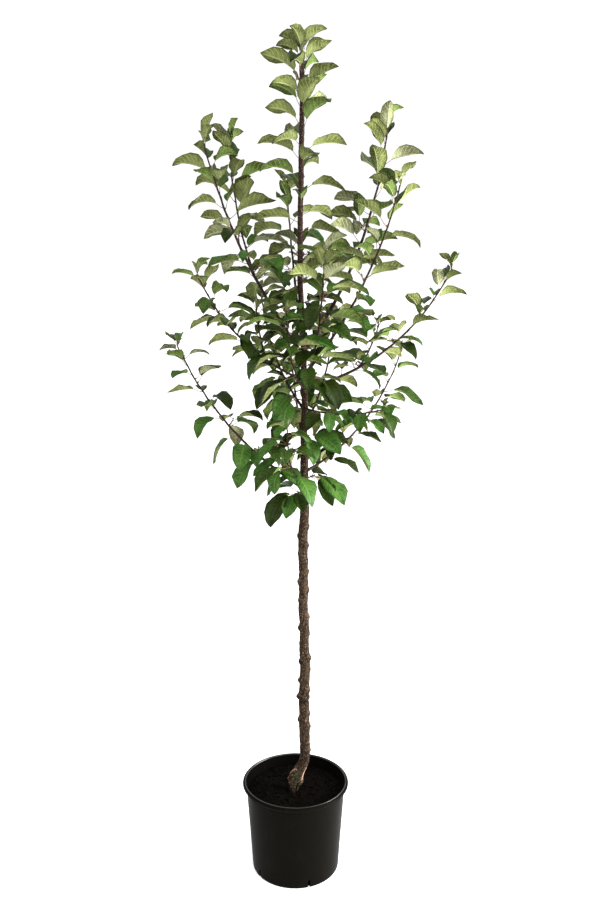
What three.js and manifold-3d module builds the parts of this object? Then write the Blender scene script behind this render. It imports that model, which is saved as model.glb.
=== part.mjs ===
// A young dwarf apple tree in a round nursery pot, in millimetres with +Z up.
// The origin is the middle of the pot's flat underside, and the tree's fuller face looks along -Y.
// Headings are degrees from +X towards +Y; rises are degrees above the level.
import * as THREE from 'three';
import { mergeVertices } from 'three/addons/utils/BufferGeometryUtils.js';
import Module from 'manifold-3d';

// ---------------------------------------------------------------- driving sizes

const SEAT = 0.3; // clearance between one piece and the piece that carries it

const POT = {
  height: 245,
  footRadius: 115,
  footRound: 3,
  shoulderRadius: 130,
  shoulderHeight: 229,
  lipRadius: 140,
  lipHeight: 8,
  lipRound: 7,
  wall: 2.6,
  floor: 3.2,
  sides: 32,
};
const DRAIN = { count: 5, width: 6, height: 22, depth: 16, firstHeading: 216 };
const SOIL = { top: 220, flatRadius: 60, edgeDrop: 6, crownBand: 9 };

// The trunk: its radius at named heights, its lean over the graft, its root flare and its knots.
const TRUNK = {
  top: 1640,
  crownFoot: 960,
  radii: [
    [220, 13], [236, 16.5], [250, 20], [263, 18], [278, 14.2], [300, 13], [480, 12.6],
    [750, 11.4], [960, 12], [1060, 10.8], [1130, 9.5], [1240, 8], [1400, 7.2], [1640, 6.5],
    [1850, 6.1], [2000, 5.6], [2060, 4.6],
  ],
  sides: 8,
  footRings: [230, 241, 251, 263, 275, 288, 301, 314],
  crownRings: [1030, 1100, 1170, 1240, 1330, 1400, 1480, 1560],
  graft: { from: 236, to: 312, x: -4, y: -11, leanX: 26, leanY: 11 },
  sway: { from: 1330, to: 1560, x: -9 },
  flare: { height: 50, headings: [248, 12], spread: 36, swell: 0.5 },
  knots: {
    first: 350, last: 965, pitch: 42, shift: 7, swell: 4.6, reach: 6, spread: 38, seed: 70,
  },
};

// The boughs. length is measured along the bough; bare is the share of it below the first leaves;
// bend and sway are how far the rise and the heading turn from butt to tip. A fork leaves the
// bough at a share of its length, turned from the bough's heading there.
const BOUGHS = [
  { name: 'upper_left', height: 1368, heading: 162, rise: 53, bend: 23, sway: 33, length: 552,
    butt: 4.8, bare: 0.36, leaves: 15, leaf: 76, seed: 1,
    forks: [{ share: 0.42, turn: -40, rise: 64, bend: 22, length: 310, leaves: 12 }] },
  { name: 'middle_left', height: 1312, heading: 205, rise: 22, bend: 43, sway: 3, length: 380,
    butt: 3, bare: 0.26, leaves: 13, leaf: 66, seed: 2,
    forks: [{ share: 0.3, turn: 38, rise: 60, bend: 20, length: 130, leaves: 4 }] },
  { name: 'lower_left', height: 1041, heading: 176, rise: 31, bend: 34, sway: -9, length: 475,
    butt: 3.6, bare: 0.2, leaves: 16, leaf: 66, seed: 3, forks: [] },
  { name: 'upper_right', height: 1383, heading: 24, rise: 50, bend: 29, sway: 29, length: 608,
    butt: 5, bare: 0.34, leaves: 16, leaf: 78, seed: 4, forks: [] },
  { name: 'front_right', height: 1325, heading: -14, rise: 50, bend: 24, sway: -20, length: 500,
    butt: 3.7, bare: 0.28, leaves: 13, leaf: 74, seed: 5, forks: [] },
  { name: 'front_middle', height: 1312, heading: -70, rise: 39, bend: 41, sway: -14, length: 349,
    butt: 2.8, bare: 0.22, leaves: 14, leaf: 74, seed: 6, forks: [] },
  { name: 'long_right', height: 1292, heading: 8, rise: 12, bend: 52, sway: 4, length: 478,
    butt: 4, bare: 0.2, leaves: 14, leaf: 66, seed: 7,
    forks: [{ share: 0.3, turn: 34, rise: 40, bend: 30, length: 120, leaves: 4 }] },
  { name: 'thin_right', height: 1244, heading: -40, rise: -9, bend: 26, sway: 19, length: 221,
    butt: 1.9, bare: 0.2, leaves: 7, leaf: 60, seed: 8, forks: [] },
  { name: 'lower_right', height: 1083, heading: 38, rise: 16, bend: 46, sway: 6, length: 447,
    butt: 3.1, bare: 0.16, leaves: 14, leaf: 72, seed: 9, forks: [] },
  { name: 'short_left', height: 1063, heading: 235, rise: 21, bend: 70, sway: 31, length: 184,
    butt: 2.3, bare: 0.15, leaves: 8, leaf: 72, seed: 10, forks: [] },
  { name: 'front_left', height: 1290, heading: 250, rise: 28, bend: 50, sway: 10, length: 250,
    butt: 2.6, bare: 0.2, leaves: 12, leaf: 80, seed: 11, forks: [] },
  { name: 'back_high', height: 1350, heading: 98, rise: 50, bend: 28, sway: 10, length: 470,
    butt: 4.2, bare: 0.28, leaves: 13, leaf: 78, seed: 12, forks: [] },
  { name: 'back_low', height: 1130, heading: 96, rise: 30, bend: 40, sway: 10, length: 380,
    butt: 3.4, bare: 0.28, leaves: 11, leaf: 78, seed: 13, forks: [] },
  { name: 'back_left', height: 1240, heading: 128, rise: 34, bend: 40, sway: -8, length: 330,
    butt: 3, bare: 0.25, leaves: 11, leaf: 76, seed: 14, forks: [] },
  { name: 'back_right', height: 1200, heading: 62, rise: 30, bend: 42, sway: 12, length: 330,
    butt: 3, bare: 0.25, leaves: 11, leaf: 76, seed: 15, forks: [] },
];
const BOUGH_TIP = 1.6;
const COLLAR = { exit: 1.25, swell: 0.45, fade: 14 };

// How the leaves of each kind of shoot follow each other from its tip down: how close together,
// how large the first is, how much larger each next one and the largest, and how far the youngest
// stand up.
const BOUGH_HABIT = {
  crowding: 1.2, first: 0.66, growth: 0.1, largest: 1.15, scatter: 0.12, youth: 26,
};
const LEADER_HABIT = {
  crowding: 1.6, first: 0.74, growth: 0.035, largest: 1, scatter: 0.12, youth: 0,
};
const CLUSTER_HABIT = {
  crowding: 0.85, first: 1, growth: -0.05, largest: 1, scatter: 0.1, youth: 0,
};
const YOUNG_LEAVES = 4;

const FORK = { butt: 2.6, tip: 1.4, bare: 0.12, habit: BOUGH_HABIT };
const TWIG = {
  every: 135, upTo: 0.62, turn: 100, turnScatter: 25, rise: 20, riseScatter: 25, length: 26,
  lengthScatter: 10, leaves: 3, leafShare: 1.04, bare: 0.45, butt: 1.6, tip: 1.2,
  habit: CLUSTER_HABIT,
};
const LEADER = {
  rise: 89, heading: -60, length: 414, bare: 0.01, leaves: 34, leaf: 84, seed: 40,
  habit: LEADER_HABIT,
};
const SPUR = {
  count: 13, first: 1024, pitch: 48, shift: 8, heading: 222, rise: 8, reach: 22, reachScatter: 16,
  leaves: 5, leafLow: 92, leafHigh: 84, lowest: 1000, highest: 1700, bare: 0.6, butt: 1.9,
  tip: 1.4, seed: 90, habit: CLUSTER_HABIT,
};
const SHOOT = { turns: [0, 30, -30, 60, -60, 90, -90], gap: 4, bend: 20 };

// A leaf of the given blade length: its half width at seven stations, as shares of the widest, and
// how it stands. light runs from 0 inside the crown's foot to 1 near its top and further out, and
// the sun that the leaves turn to comes from the front at low light and from behind at high light.
const LEAF = {
  stations: 6,
  outline: [0, 0.7, 0.97, 1, 0.86, 0.5, 0],
  halfWidth: 0.33,
  kiteWidth: 1.12,
  stalk: 0.33,
  stalkScatter: 0.04,
  stalkRise: 14,
  stalkRadius: 1,
  thickness: 2,
  forward: 0.5,
  outward: 0.87,
  headingScatter: 20,
  rise: -26,
  riseByLight: 58,
  riseByLift: 0.25,
  riseScatter: 20,
  steepest: 78,
  droop: 46,
  droopByLight: -10,
  droopScatter: 22,
  curl: 24,
  rollScatter: 22,
  rollAtFoot: 0.4,
  rollToSun: 0.85,
  sunLow: -0.6,
  sunHigh: 0.9,
  fold: 26,
  foldByLight: 16,
  foldScatter: 12,
  lowLight: 1150,
  highLight: 2000,
  lightOutward: 0.9,
};
const CROWDED = {
  leafGap: 5.5, limbGap: 3, turns: [0, 26, -26, 55, -55, 90, -90, 130], shrink: 0.04, fewest: 2,
};
const GOLDEN_TURN = 137.5;
const FIRST_TURN = 60; // between the first leaves of shoots whose seeds are next to each other
const PATH_STEPS = 16;
const LIMB_STEP = 7;

// Rings along and sides round the solids of the limbs.
const MESHING = {
  bough: { rings: 5, sides: 6 },
  stem: { rings: 7, sides: 4 },
  leader: { rings: 5, sides: 5 },
  fork: { rings: 4, sides: 3 },
  twig: { rings: 2, sides: 3 },
  spur: { rings: 2, sides: 3 },
};

const FINISH = {
  pot: { color: 0x1d1c19, roughness: 0.45 },
  soil: { color: 0x241d17, roughness: 0.95 },
  trunk: { color: 0x5a4636, roughness: 0.85 },
  bough: { color: 0x4b3530, roughness: 0.7 },
  foliage: { color: 0x56743c, roughness: 0.6 },
};

// ---------------------------------------------------------------- small helpers

const { clamp, lerp, mapLinear, smoothstep, degToRad, radToDeg } = THREE.MathUtils;
const portion = (from, to, value) => clamp((value - from) / (to - from), 0, 1);

// A repeatable scatter from -1 to 1.
function jitter(seed, turn) {
  const x = Math.sin(seed * 12.9898 + turn * 78.233) * 43758.5453;
  return 2 * (x - Math.floor(x)) - 1;
}

function direction(heading, rise) {
  const level = Math.cos(degToRad(rise));
  return new THREE.Vector3(
    level * Math.cos(degToRad(heading)),
    level * Math.sin(degToRad(heading)),
    Math.sin(degToRad(rise)),
  );
}

const offset = (point, vector, distance) => point.clone().addScaledVector(vector, distance);

function tableValue(table, key) {
  if (key <= table[0][0]) return table[0][1];
  for (let i = 1; i < table.length; i += 1) {
    const [low, high] = [table[i - 1], table[i]];
    if (key <= high[0]) return mapLinear(key, low[0], high[0], low[1], high[1]);
  }
  return table[table.length - 1][1];
}

// ---------------------------------------------------------------- limbs as paths

const trunkRadius = (z) => tableValue(TRUNK.radii, z);

function trunkCentre(z) {
  const { graft, sway } = TRUNK;
  const lean = smoothstep(z, graft.from, graft.to);
  const x = graft.x + graft.leanX * lean + sway.x * smoothstep(z, sway.from, sway.to);
  return new THREE.Vector3(x, graft.y + graft.leanY * lean, z);
}

// A limb's centre line, grown in equal steps from its start.
function growPath(start, heading, rise, bend, sway, length) {
  const points = [start.clone()];
  for (let i = 0; i < PATH_STEPS; i += 1) {
    const s = (i + 0.5) / PATH_STEPS;
    const step = direction(heading + sway * s, rise + bend * s);
    points.push(offset(points[i], step, length / PATH_STEPS));
  }
  return points;
}

function pathSpot(path, along) {
  const x = clamp(along, 0, 1) * (path.length - 1);
  const i = Math.min(Math.floor(x), path.length - 2);
  const point = path[i].clone().lerp(path[i + 1], x - i);
  const axis = path[i + 1].clone().sub(path[i]).normalize();
  return { point, axis };
}

// Points along a limb's axis, each with the limb's radius there.
function limbSamples({ mass, path, length, butt, tip }) {
  const count = Math.max(Math.floor(length / LIMB_STEP), 2);
  return Array.from({ length: count + 1 }, (_, i) => ({
    mass,
    point: pathSpot(path, i / count).point,
    radius: lerp(butt, tip, i / count),
  }));
}

function trunkSamples() {
  const samples = [];
  for (let z = TRUNK.crownFoot; z < TRUNK.top + LEADER.length; z += LIMB_STEP) {
    samples.push({ mass: 'trunk', point: trunkCentre(z), radius: trunkRadius(z) });
  }
  return samples;
}

const clearOf = (limbs, points, gap) => points.every((point) => (
  limbs.every((limb) => limb.point.distanceTo(point) - limb.radius >= gap)));

function growBough(bough) {
  const { name, heading, rise, bend, sway, length } = bough;
  const path = growPath(trunkCentre(bough.height), heading, rise, bend, sway, length);
  return { ...bough, mass: name, kind: 'bough', path, tip: BOUGH_TIP, habit: BOUGH_HABIT };
}

function growForks(bough, stem) {
  return bough.forks.map((fork, k) => {
    const heading = bough.heading + bough.sway * fork.share + fork.turn;
    const start = pathSpot(stem.path, fork.share).point;
    const path = growPath(start, heading, fork.rise, fork.bend, 0, fork.length);
    return { ...FORK, mass: bough.name, kind: 'fork', length: fork.length, path,
      leaves: fork.leaves, leaf: bough.leaf, seed: bough.seed + 20 + k };
  });
}

// A short shoot goes on at the first heading that keeps it clear of every limb but its carrier,
// whose bark it breaks at the given depth.
function placeShoot(shoots, shoot, limbs, carrier, bark, start, heading, rise) {
  const others = limbs.filter((limb) => limb.mass !== carrier);
  for (const turn of SHOOT.turns) {
    const path = growPath(start, heading + turn, rise, SHOOT.bend, 0, shoot.length);
    const outer = path.filter((point) => point.distanceTo(start) > bark);
    if (clearOf(others, outer, SHOOT.gap)) {
      const placed = { ...shoot, path };
      limbs.push(...limbSamples(placed));
      shoots.push(placed);
      return;
    }
  }
}

// Short twigs on alternate sides of a bough's older part.
function growTwigs(twigs, bough, stem, limbs) {
  const { seed, bare } = bough;
  const count = Math.floor((bough.length * (1 - bare)) / TWIG.every);
  for (let k = 0; k < count; k += 1) {
    const along = lerp(bare, TWIG.upTo, (k + 0.5) / count);
    const side = (k + seed) % 2 ? 1 : -1;
    const turn = side * (TWIG.turn + TWIG.turnScatter * jitter(seed, k + 0.5));
    const twig = { ...TWIG, mass: bough.name, kind: 'twig', leaf: bough.leaf * TWIG.leafShare,
      length: TWIG.length + TWIG.lengthScatter * jitter(seed, k + 0.1), seed: seed + 50 + 7 * k };
    placeShoot(twigs, twig, limbs, bough.name, bough.butt, pathSpot(stem.path, along).point,
      bough.heading + bough.sway * along + turn,
      TWIG.rise + TWIG.riseScatter * jitter(seed, k + 0.7));
  }
}

// Leafy spurs round the trunk, a golden turn apart.
function growSpurs(spurs, limbs) {
  for (let k = 0; k < SPUR.count; k += 1) {
    const z = SPUR.first + k * SPUR.pitch + SPUR.shift * jitter(SPUR.seed, k);
    const length = trunkRadius(z) + SPUR.reach + SPUR.reachScatter * jitter(SPUR.seed + 1, k);
    const leaf = lerp(SPUR.leafLow, SPUR.leafHigh, portion(SPUR.lowest, SPUR.highest, z));
    const mass = `spur_${String(k + 1).padStart(2, '0')}`;
    const spur = { ...SPUR, mass, kind: 'spur', length, leaf, seed: SPUR.seed + 2 + k };
    placeShoot(spurs, spur, limbs, 'trunk', trunkRadius(z), trunkCentre(z),
      SPUR.heading + GOLDEN_TURN * k, SPUR.rise);
  }
}

// Every shoot that carries leaves: the boughs, their forks and twigs, the leader that goes on
// from the trunk's top, and the spurs.
function growShoots(limbs) {
  const boughs = BOUGHS.map(growBough);
  for (const bough of boughs) limbs.push(...limbSamples(bough));
  const shoots = [...boughs];
  BOUGHS.forEach((bough, i) => {
    shoots.push(...growForks(bough, boughs[i]));
    growTwigs(shoots, bough, boughs[i], limbs);
  });
  for (const shoot of shoots) if (shoot.kind === 'fork') limbs.push(...limbSamples(shoot));
  shoots.push({ ...LEADER, mass: 'leader', kind: 'leader',
    path: growPath(trunkCentre(TRUNK.top), LEADER.heading, LEADER.rise, 0, 0, LEADER.length),
    butt: trunkRadius(TRUNK.top), tip: trunkRadius(TRUNK.top + LEADER.length) });
  growSpurs(shoots, limbs);
  return shoots;
}

// ---------------------------------------------------------------- leaves

// How far a blade would roll about its midrib to turn its face to the sun.
function rollToSun(heading, rise, light) {
  const right = direction(heading - 90, 0);
  const face = right.clone().cross(direction(heading, rise));
  const sun = new THREE.Vector3(0, lerp(LEAF.sunLow, LEAF.sunHigh, light), 1);
  return radToDeg(Math.atan2(-sun.dot(right), sun.dot(face)));
}

// A leaf held by its stalk at root, turned about the shoot's axis. Leaves stand up at the crown's
// top and outside, and hang lower down and further in; youth is how much more a young one rises.
function shapeLeaf(root, axis, turn, size, seed, n, youth) {
  const side = new THREE.Vector3(0, 0, 1).cross(axis);
  if (side.length() > 0.05) side.normalize();
  else side.set(1, 0, 0);
  const over = axis.clone().cross(side);
  const out = side.multiplyScalar(Math.cos(degToRad(turn)))
    .addScaledVector(over, Math.sin(degToRad(turn)));
  const reach = axis.clone().multiplyScalar(LEAF.forward).addScaledVector(out, LEAF.outward);
  const lift = radToDeg(Math.asin(clamp(reach.z / reach.length(), -1, 1)));
  const light = portion(LEAF.lowLight, LEAF.highLight,
    root.z + LEAF.lightOutward * Math.hypot(root.x, root.y));
  const heading = radToDeg(Math.atan2(reach.y, reach.x))
    + LEAF.headingScatter * jitter(seed, n + 0.3);
  const rise = Math.min(LEAF.rise + LEAF.riseByLight * light + LEAF.riseByLift * lift
    + LEAF.riseScatter * jitter(seed, n + 0.6) + youth, LEAF.steepest);
  const droop = LEAF.droop + LEAF.droopByLight * light + LEAF.droopScatter * jitter(seed, n + 0.45);
  const stalk = size * (LEAF.stalk + LEAF.stalkScatter * jitter(seed, n + 0.2));
  const curl = LEAF.curl * jitter(seed, n + 0.9);
  const roll = LEAF.rollToSun * rollToSun(heading, rise - droop / 3, light)
    + LEAF.rollScatter * jitter(seed, n + 0.15);
  const fold = degToRad(LEAF.fold + LEAF.foldByLight * light
    + LEAF.foldScatter * jitter(seed, n + 0.75));

  const middle = [offset(root, direction(heading, rise + LEAF.stalkRise), stalk)];
  const steps = [];
  for (let i = 0; i < LEAF.stations; i += 1) {
    const s = (i + 0.5) / LEAF.stations;
    steps.push(direction(heading + curl * s, rise - droop * s));
    middle.push(offset(middle[i], steps[i], size / LEAF.stations));
  }
  steps.push(steps[LEAF.stations - 1]);

  const rightHand = direction(heading + curl / 2 - 90, 0);
  const [left, right, faces] = [[], [], []];
  middle.forEach((point, i) => {
    const across = rightHand.clone().addScaledVector(steps[i], -rightHand.dot(steps[i])).normalize();
    const face = across.clone().cross(steps[i]);
    const tilt = degToRad(roll * (LEAF.rollAtFoot + i / LEAF.stations));
    const tiltedAcross = across.clone().multiplyScalar(Math.cos(tilt))
      .addScaledVector(face, Math.sin(tilt));
    const tiltedFace = face.multiplyScalar(Math.cos(tilt)).addScaledVector(across, -Math.sin(tilt));
    const half = size * LEAF.halfWidth * LEAF.outline[i];
    const rim = offset(point, tiltedFace, half * Math.sin(fold));
    left.push(offset(rim, tiltedAcross, -half * Math.cos(fold)));
    right.push(offset(rim, tiltedAcross, half * Math.cos(fold)));
    faces.push(tiltedFace);
  });
  return { root, axis: steps[0], middle, left, right, faces };
}

// The points that stand for a blade when its distance to other things is taken.
function bladeSamples(leaf) {
  const samples = [...leaf.middle];
  for (let i = 1; i < LEAF.stations; i += 1) {
    samples.push(leaf.left[i], leaf.right[i]);
    samples.push(leaf.left[i].clone().lerp(leaf.middle[i], 0.5));
    samples.push(leaf.right[i].clone().lerp(leaf.middle[i], 0.5));
  }
  return samples;
}

// Leaves go on in turns of the golden angle. One that would crowd another leaf or touch a limb is
// turned aside and made a little smaller, and is left out when no turn is free.
function growLeaves(shoots, limbs) {
  const taken = [];
  const isFree = (samples) => clearOf(limbs, samples, CROWDED.limbGap)
    && samples.every((sample) => (
      taken.every((point) => point.distanceTo(sample) >= CROWDED.leafGap)));

  const leaves = [];
  for (const shoot of shoots) {
    const { crowding, first, growth, largest, scatter, youth } = shoot.habit;
    for (let i = 0; i < shoot.leaves; i += 1) {
      const size = shoot.leaf * (1 + scatter * jitter(shoot.seed, i))
        * Math.min(largest, first + growth * i);
      const young = youth * Math.max(0, 1 - i / YOUNG_LEAVES);
      const along = 1 - (1 - shoot.bare) * (i / (shoot.leaves - 1)) ** crowding;
      const { point, axis } = pathSpot(shoot.path, along);
      const turn = GOLDEN_TURN * i + FIRST_TURN * shoot.seed;
      for (let k = 0; k < CROWDED.turns.length; k += 1) {
        const leaf = shapeLeaf(point, axis, turn + CROWDED.turns[k],
          size * (1 - CROWDED.shrink * k), shoot.seed, i, young);
        const samples = bladeSamples(leaf);
        if (isFree(samples)) {
          taken.push(...samples);
          leaves.push({ mass: shoot.mass, ...leaf });
          break;
        }
      }
    }
  }
  return leaves;
}

// ---------------------------------------------------------------- solids

const kernel = await Module();
kernel.setup();

function toSolid(geometry) {
  const shell = geometry.clone();
  shell.deleteAttribute('normal');
  shell.deleteAttribute('uv');
  const merged = mergeVertices(shell, 1e-3);
  return new kernel.Manifold(new kernel.Mesh({
    numProp: 3,
    vertProperties: new Float32Array(merged.attributes.position.array),
    triVerts: new Uint32Array(merged.index.array),
  }));
}

function toGeometry(solid) {
  const { vertProperties, triVerts } = solid.getMesh();
  const geometry = new THREE.BufferGeometry();
  geometry.setAttribute('position', new THREE.BufferAttribute(vertProperties, 3));
  geometry.setIndex(new THREE.BufferAttribute(triVerts, 1));
  geometry.computeVertexNormals();
  return geometry;
}

function closedGeometry(points, corners) {
  const geometry = new THREE.BufferGeometry().setFromPoints(points);
  geometry.setIndex(corners);
  return geometry;
}

const quad = (a, b, c, d) => [a, b, c, a, c, d];

// A limb: rings of the given radii square to the path, with flat ends. radiusAt may also depend
// on the heading round the limb, which gives flares and knots.
function limbGeometry(points, sides, radiusAt) {
  const vertices = [];
  const corners = [];
  const side = new THREE.Vector3(1, 0, 0);
  points.forEach((point, ring) => {
    const before = points[Math.max(ring - 1, 0)];
    const after = points[Math.min(ring + 1, points.length - 1)];
    const axis = after.clone().sub(before).normalize();
    side.addScaledVector(axis, -side.dot(axis)).normalize();
    const across = axis.clone().cross(side);
    for (let k = 0; k < sides; k += 1) {
      const angle = (k / sides) * 2 * Math.PI;
      const out = side.clone().multiplyScalar(Math.cos(angle))
        .addScaledVector(across, Math.sin(angle));
      vertices.push(offset(point, out, radiusAt(ring, point, out)));
    }
  });
  for (let ring = 0; ring + 1 < points.length; ring += 1) {
    for (let k = 0; k < sides; k += 1) {
      const [a, b] = [ring * sides + k, ring * sides + ((k + 1) % sides)];
      corners.push(...quad(a, b, b + sides, a + sides));
    }
  }
  const last = (points.length - 1) * sides;
  for (let k = 1; k + 1 < sides; k += 1) {
    corners.push(0, k + 1, k, last, last + k, last + k + 1);
  }
  return closedGeometry(vertices, corners);
}

// A leaf and its stalk as one closed body. Its rings run root, foot, waist, tip; each is left,
// top, right, and the waist also has a point under the midrib.
function leafGeometry(leaf, thickness) {
  const across = leaf.axis.clone().cross(new THREE.Vector3(0, 0, 1)).normalize();
  const face = across.clone().cross(leaf.axis);
  const stalkRing = (centre, radius) => {
    const low = offset(centre, face, -radius / 2);
    return [offset(low, across, -radius), offset(centre, face, radius), offset(low, across, radius)];
  };
  const waist = (line) => line[2].clone().lerp(line[3], 0.5);
  const [left, middle, right] = [leaf.left, leaf.middle, leaf.right].map(waist);
  const points = [
    ...stalkRing(leaf.root, LEAF.stalkRadius),
    ...stalkRing(leaf.middle[0], LEAF.stalkRadius),
    middle.clone().lerp(left, LEAF.kiteWidth),
    offset(middle, waist(leaf.faces), thickness / 2),
    middle.clone().lerp(right, LEAF.kiteWidth),
    offset(middle, waist(leaf.faces), -thickness / 2),
    leaf.middle[LEAF.stations],
  ];
  return closedGeometry(points, [
    0, 2, 1,
    ...quad(0, 1, 4, 3), ...quad(1, 2, 5, 4), ...quad(0, 3, 5, 2),
    ...quad(3, 4, 7, 6), ...quad(4, 5, 8, 7), 3, 6, 9, 3, 9, 5, 5, 9, 8,
    6, 7, 10, 7, 8, 10, 6, 10, 9, 9, 10, 8,
  ]);
}

// ---------------------------------------------------------------- pot and soil

// A ring turned about the vertical axis from its section, given as radius and height.
function turned(section) {
  const profile = section.map(([radius, z]) => new THREE.Vector2(radius, z));
  return new THREE.LatheGeometry(profile, POT.sides).rotateX(Math.PI / 2);
}

const innerFoot = POT.footRadius - POT.wall;
const innerShoulder = POT.shoulderRadius - POT.wall;
const innerRadius = (z) => mapLinear(z, POT.floor, POT.shoulderHeight, innerFoot, innerShoulder);

function makePot() {
  const { height, footRadius, footRound, shoulderRadius, shoulderHeight, floor } = POT;
  const { lipRadius, lipHeight, lipRound, wall } = POT;
  const step = 1;
  let pot = toSolid(turned([
    [0, 0], [footRadius - footRound, 0], [footRadius, footRound],
    [shoulderRadius, shoulderHeight - step], [shoulderRadius + step, shoulderHeight + step],
    [shoulderRadius + step, height - lipHeight - step], [lipRadius, height - lipHeight],
    [lipRadius - step, height - lipHeight / 2], [lipRadius - lipRound, height],
    [lipRadius - lipRound - wall, height],
    [innerShoulder, shoulderHeight], [innerFoot, floor], [0, floor],
  ]));
  for (let k = 0; k < DRAIN.count; k += 1) {
    const slot = new THREE.BoxGeometry(DRAIN.depth, DRAIN.width, DRAIN.height * 2);
    slot.translate(footRadius, 0, 0);
    slot.rotateZ(degToRad(DRAIN.firstHeading + (360 / DRAIN.count) * k));
    pot = pot.subtract(toSolid(slot));
  }
  return pot;
}

function makeSoil() {
  const { top, flatRadius, edgeDrop, crownBand } = SOIL;
  const base = POT.floor + SEAT;
  const edge = top - edgeDrop;
  return toSolid(turned([
    [0, base], [innerRadius(base) - SEAT, base], [innerRadius(edge) - SEAT, edge],
    [innerRadius(edge) - crownBand, edge + edgeDrop / 2], [flatRadius, top], [0, top],
  ]));
}

// ---------------------------------------------------------------- trunk and boughs

// The knots left by shed side shoots, on alternate sides up the bare trunk.
function trunkKnots() {
  const { first, last, pitch, shift, swell, spread, seed } = TRUNK.knots;
  const knots = [];
  for (let z = first, k = 0; z < last; z += pitch, k += 1) {
    knots.push({
      z: z + shift * jitter(seed, k),
      heading: (k % 2 ? 0 : 180) + spread * jitter(seed + 1, k),
      swell: swell * (1 + jitter(seed + 2, k) / 3),
    });
  }
  return knots;
}

// How strongly something centred on one heading and so many degrees wide is felt at another.
function bump(heading, centre, spread) {
  const between = Math.abs(((((heading - centre) % 360) + 540) % 360) - 180);
  return Math.exp(-((between / spread) ** 2));
}

// grown is how far outside the bark the surface lies.
function trunkGeometry(grown) {
  const { flare, knots: { reach, spread } } = TRUNK;
  const foot = SOIL.top + SEAT - grown;
  const knots = trunkKnots();
  const knotRings = knots.flatMap(({ z }) => [z - reach, z, z + reach]);
  const heights = [foot, ...TRUNK.footRings, ...knotRings, ...TRUNK.crownRings, TRUNK.top + grown];
  const radiusAt = (ring, { z }, out) => {
    const heading = radToDeg(Math.atan2(out.y, out.x));
    const low = 1 - portion(foot, foot + flare.height, z);
    let radius = trunkRadius(z);
    for (const leg of flare.headings) {
      radius *= 1 + flare.swell * low * bump(heading, leg, flare.spread);
    }
    for (const knot of knots) {
      radius += knot.swell * bump(heading, knot.heading, spread)
        * Math.exp(-(((z - knot.z) / reach) ** 2));
    }
    return radius + grown;
  };
  return limbGeometry(heights.map(trunkCentre), TRUNK.sides, radiusAt);
}

// Each piece on the trunk is cut back to this surface.
const trunkCutter = toSolid(trunkGeometry(SEAT));

// A tapering limb along part of a shoot's path. A bough swells to a collar where it leaves the bark.
function shootSolid(shoot, from, to, { rings, sides }) {
  const shares = Array.from({ length: rings + 1 }, (_, i) => lerp(from, to, i / rings));
  const points = shares.map((share) => pathSpot(shoot.path, share).point);
  const bark = trunkRadius(shoot.path[0].z) * COLLAR.exit;
  return toSolid(limbGeometry(points, sides, (ring) => {
    const reach = shares[ring] * shoot.length;
    const radius = lerp(shoot.butt, shoot.tip, shares[ring]);
    if (reach < bark || shoot.kind !== 'bough') return radius;
    return radius * (1 + COLLAR.swell * Math.exp((bark - reach) / COLLAR.fade));
  }));
}

// ---------------------------------------------------------------- the tree

const solids = new Map();
const massOf = (shoot) => `foliage_${shoot.mass}`;

// The woody part of each mass: its stem, a seat's gap beyond its bough or clear of the trunk, and
// the forks and twigs that branch from it.
function growWood(shoots) {
  for (const shoot of shoots) {
    const mass = massOf(shoot);
    const meshing = MESHING[shoot.kind];
    if (shoot.kind === 'bough') {
      const butt = shootSolid(shoot, 0, shoot.bare, meshing);
      solids.set(`bough_${shoot.mass}`, butt.subtract(trunkCutter));
      solids.set(mass, shootSolid(shoot, shoot.bare + SEAT / shoot.length, 1, MESHING.stem));
    } else if (shoot.kind === 'leader') {
      solids.set(mass, shootSolid(shoot, SEAT / shoot.length, 1, meshing));
    } else if (shoot.kind === 'spur') {
      solids.set(mass, shootSolid(shoot, 0, 1, meshing).subtract(trunkCutter));
    } else {
      solids.set(mass, solids.get(mass).add(shootSolid(shoot, 0, 1, meshing)));
    }
  }
}

const boxOf = (geometry) => new THREE.Box3().setFromBufferAttribute(geometry.attributes.position);

// Each leaf is fused to its own mass, unless it would come within a seat's gap of another piece.
// A mass that would be left with hardly a leaf is dropped.
function hangLeaves(leaves) {
  const boxes = new Map();
  const counts = new Map();
  for (const [name, solid] of solids) boxes.set(name, boxOf(toGeometry(solid)));
  for (const leaf of leaves) {
    const mass = massOf(leaf);
    const guard = leafGeometry(leaf, LEAF.thickness + 2 * SEAT);
    const guardBox = boxOf(guard);
    const guardSolid = toSolid(guard);
    const touches = [...solids].some(([name, solid]) => (
      name !== mass && boxes.get(name).intersectsBox(guardBox)
      && !solid.intersect(guardSolid).isEmpty()));
    if (!touches) {
      solids.set(mass, solids.get(mass).add(toSolid(leafGeometry(leaf, LEAF.thickness))));
      boxes.get(mass).union(guardBox);
      counts.set(mass, (counts.get(mass) ?? 0) + 1);
    }
  }
  for (const name of solids.keys()) {
    const sparse = (counts.get(name) ?? 0) < CROWDED.fewest;
    if (name.startsWith('foliage_') && sparse) solids.delete(name);
  }
}

const limbs = trunkSamples();
const shoots = growShoots(limbs);
solids.set('trunk', toSolid(trunkGeometry(0)));
growWood(shoots);
hangLeaves(growLeaves(shoots, limbs));
solids.set('pot', makePot());
solids.set('soil', makeSoil());

const tree = new THREE.Group();
tree.name = 'dwarf_apple_tree';
for (const [name, solid] of solids) {
  const finish = FINISH[name.split('_')[0]];
  const material = new THREE.MeshStandardMaterial({ ...finish, metalness: 0, flatShading: true });
  const mesh = new THREE.Mesh(toGeometry(solid), material);
  mesh.name = name;
  tree.add(mesh);
}

export default tree;
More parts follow.
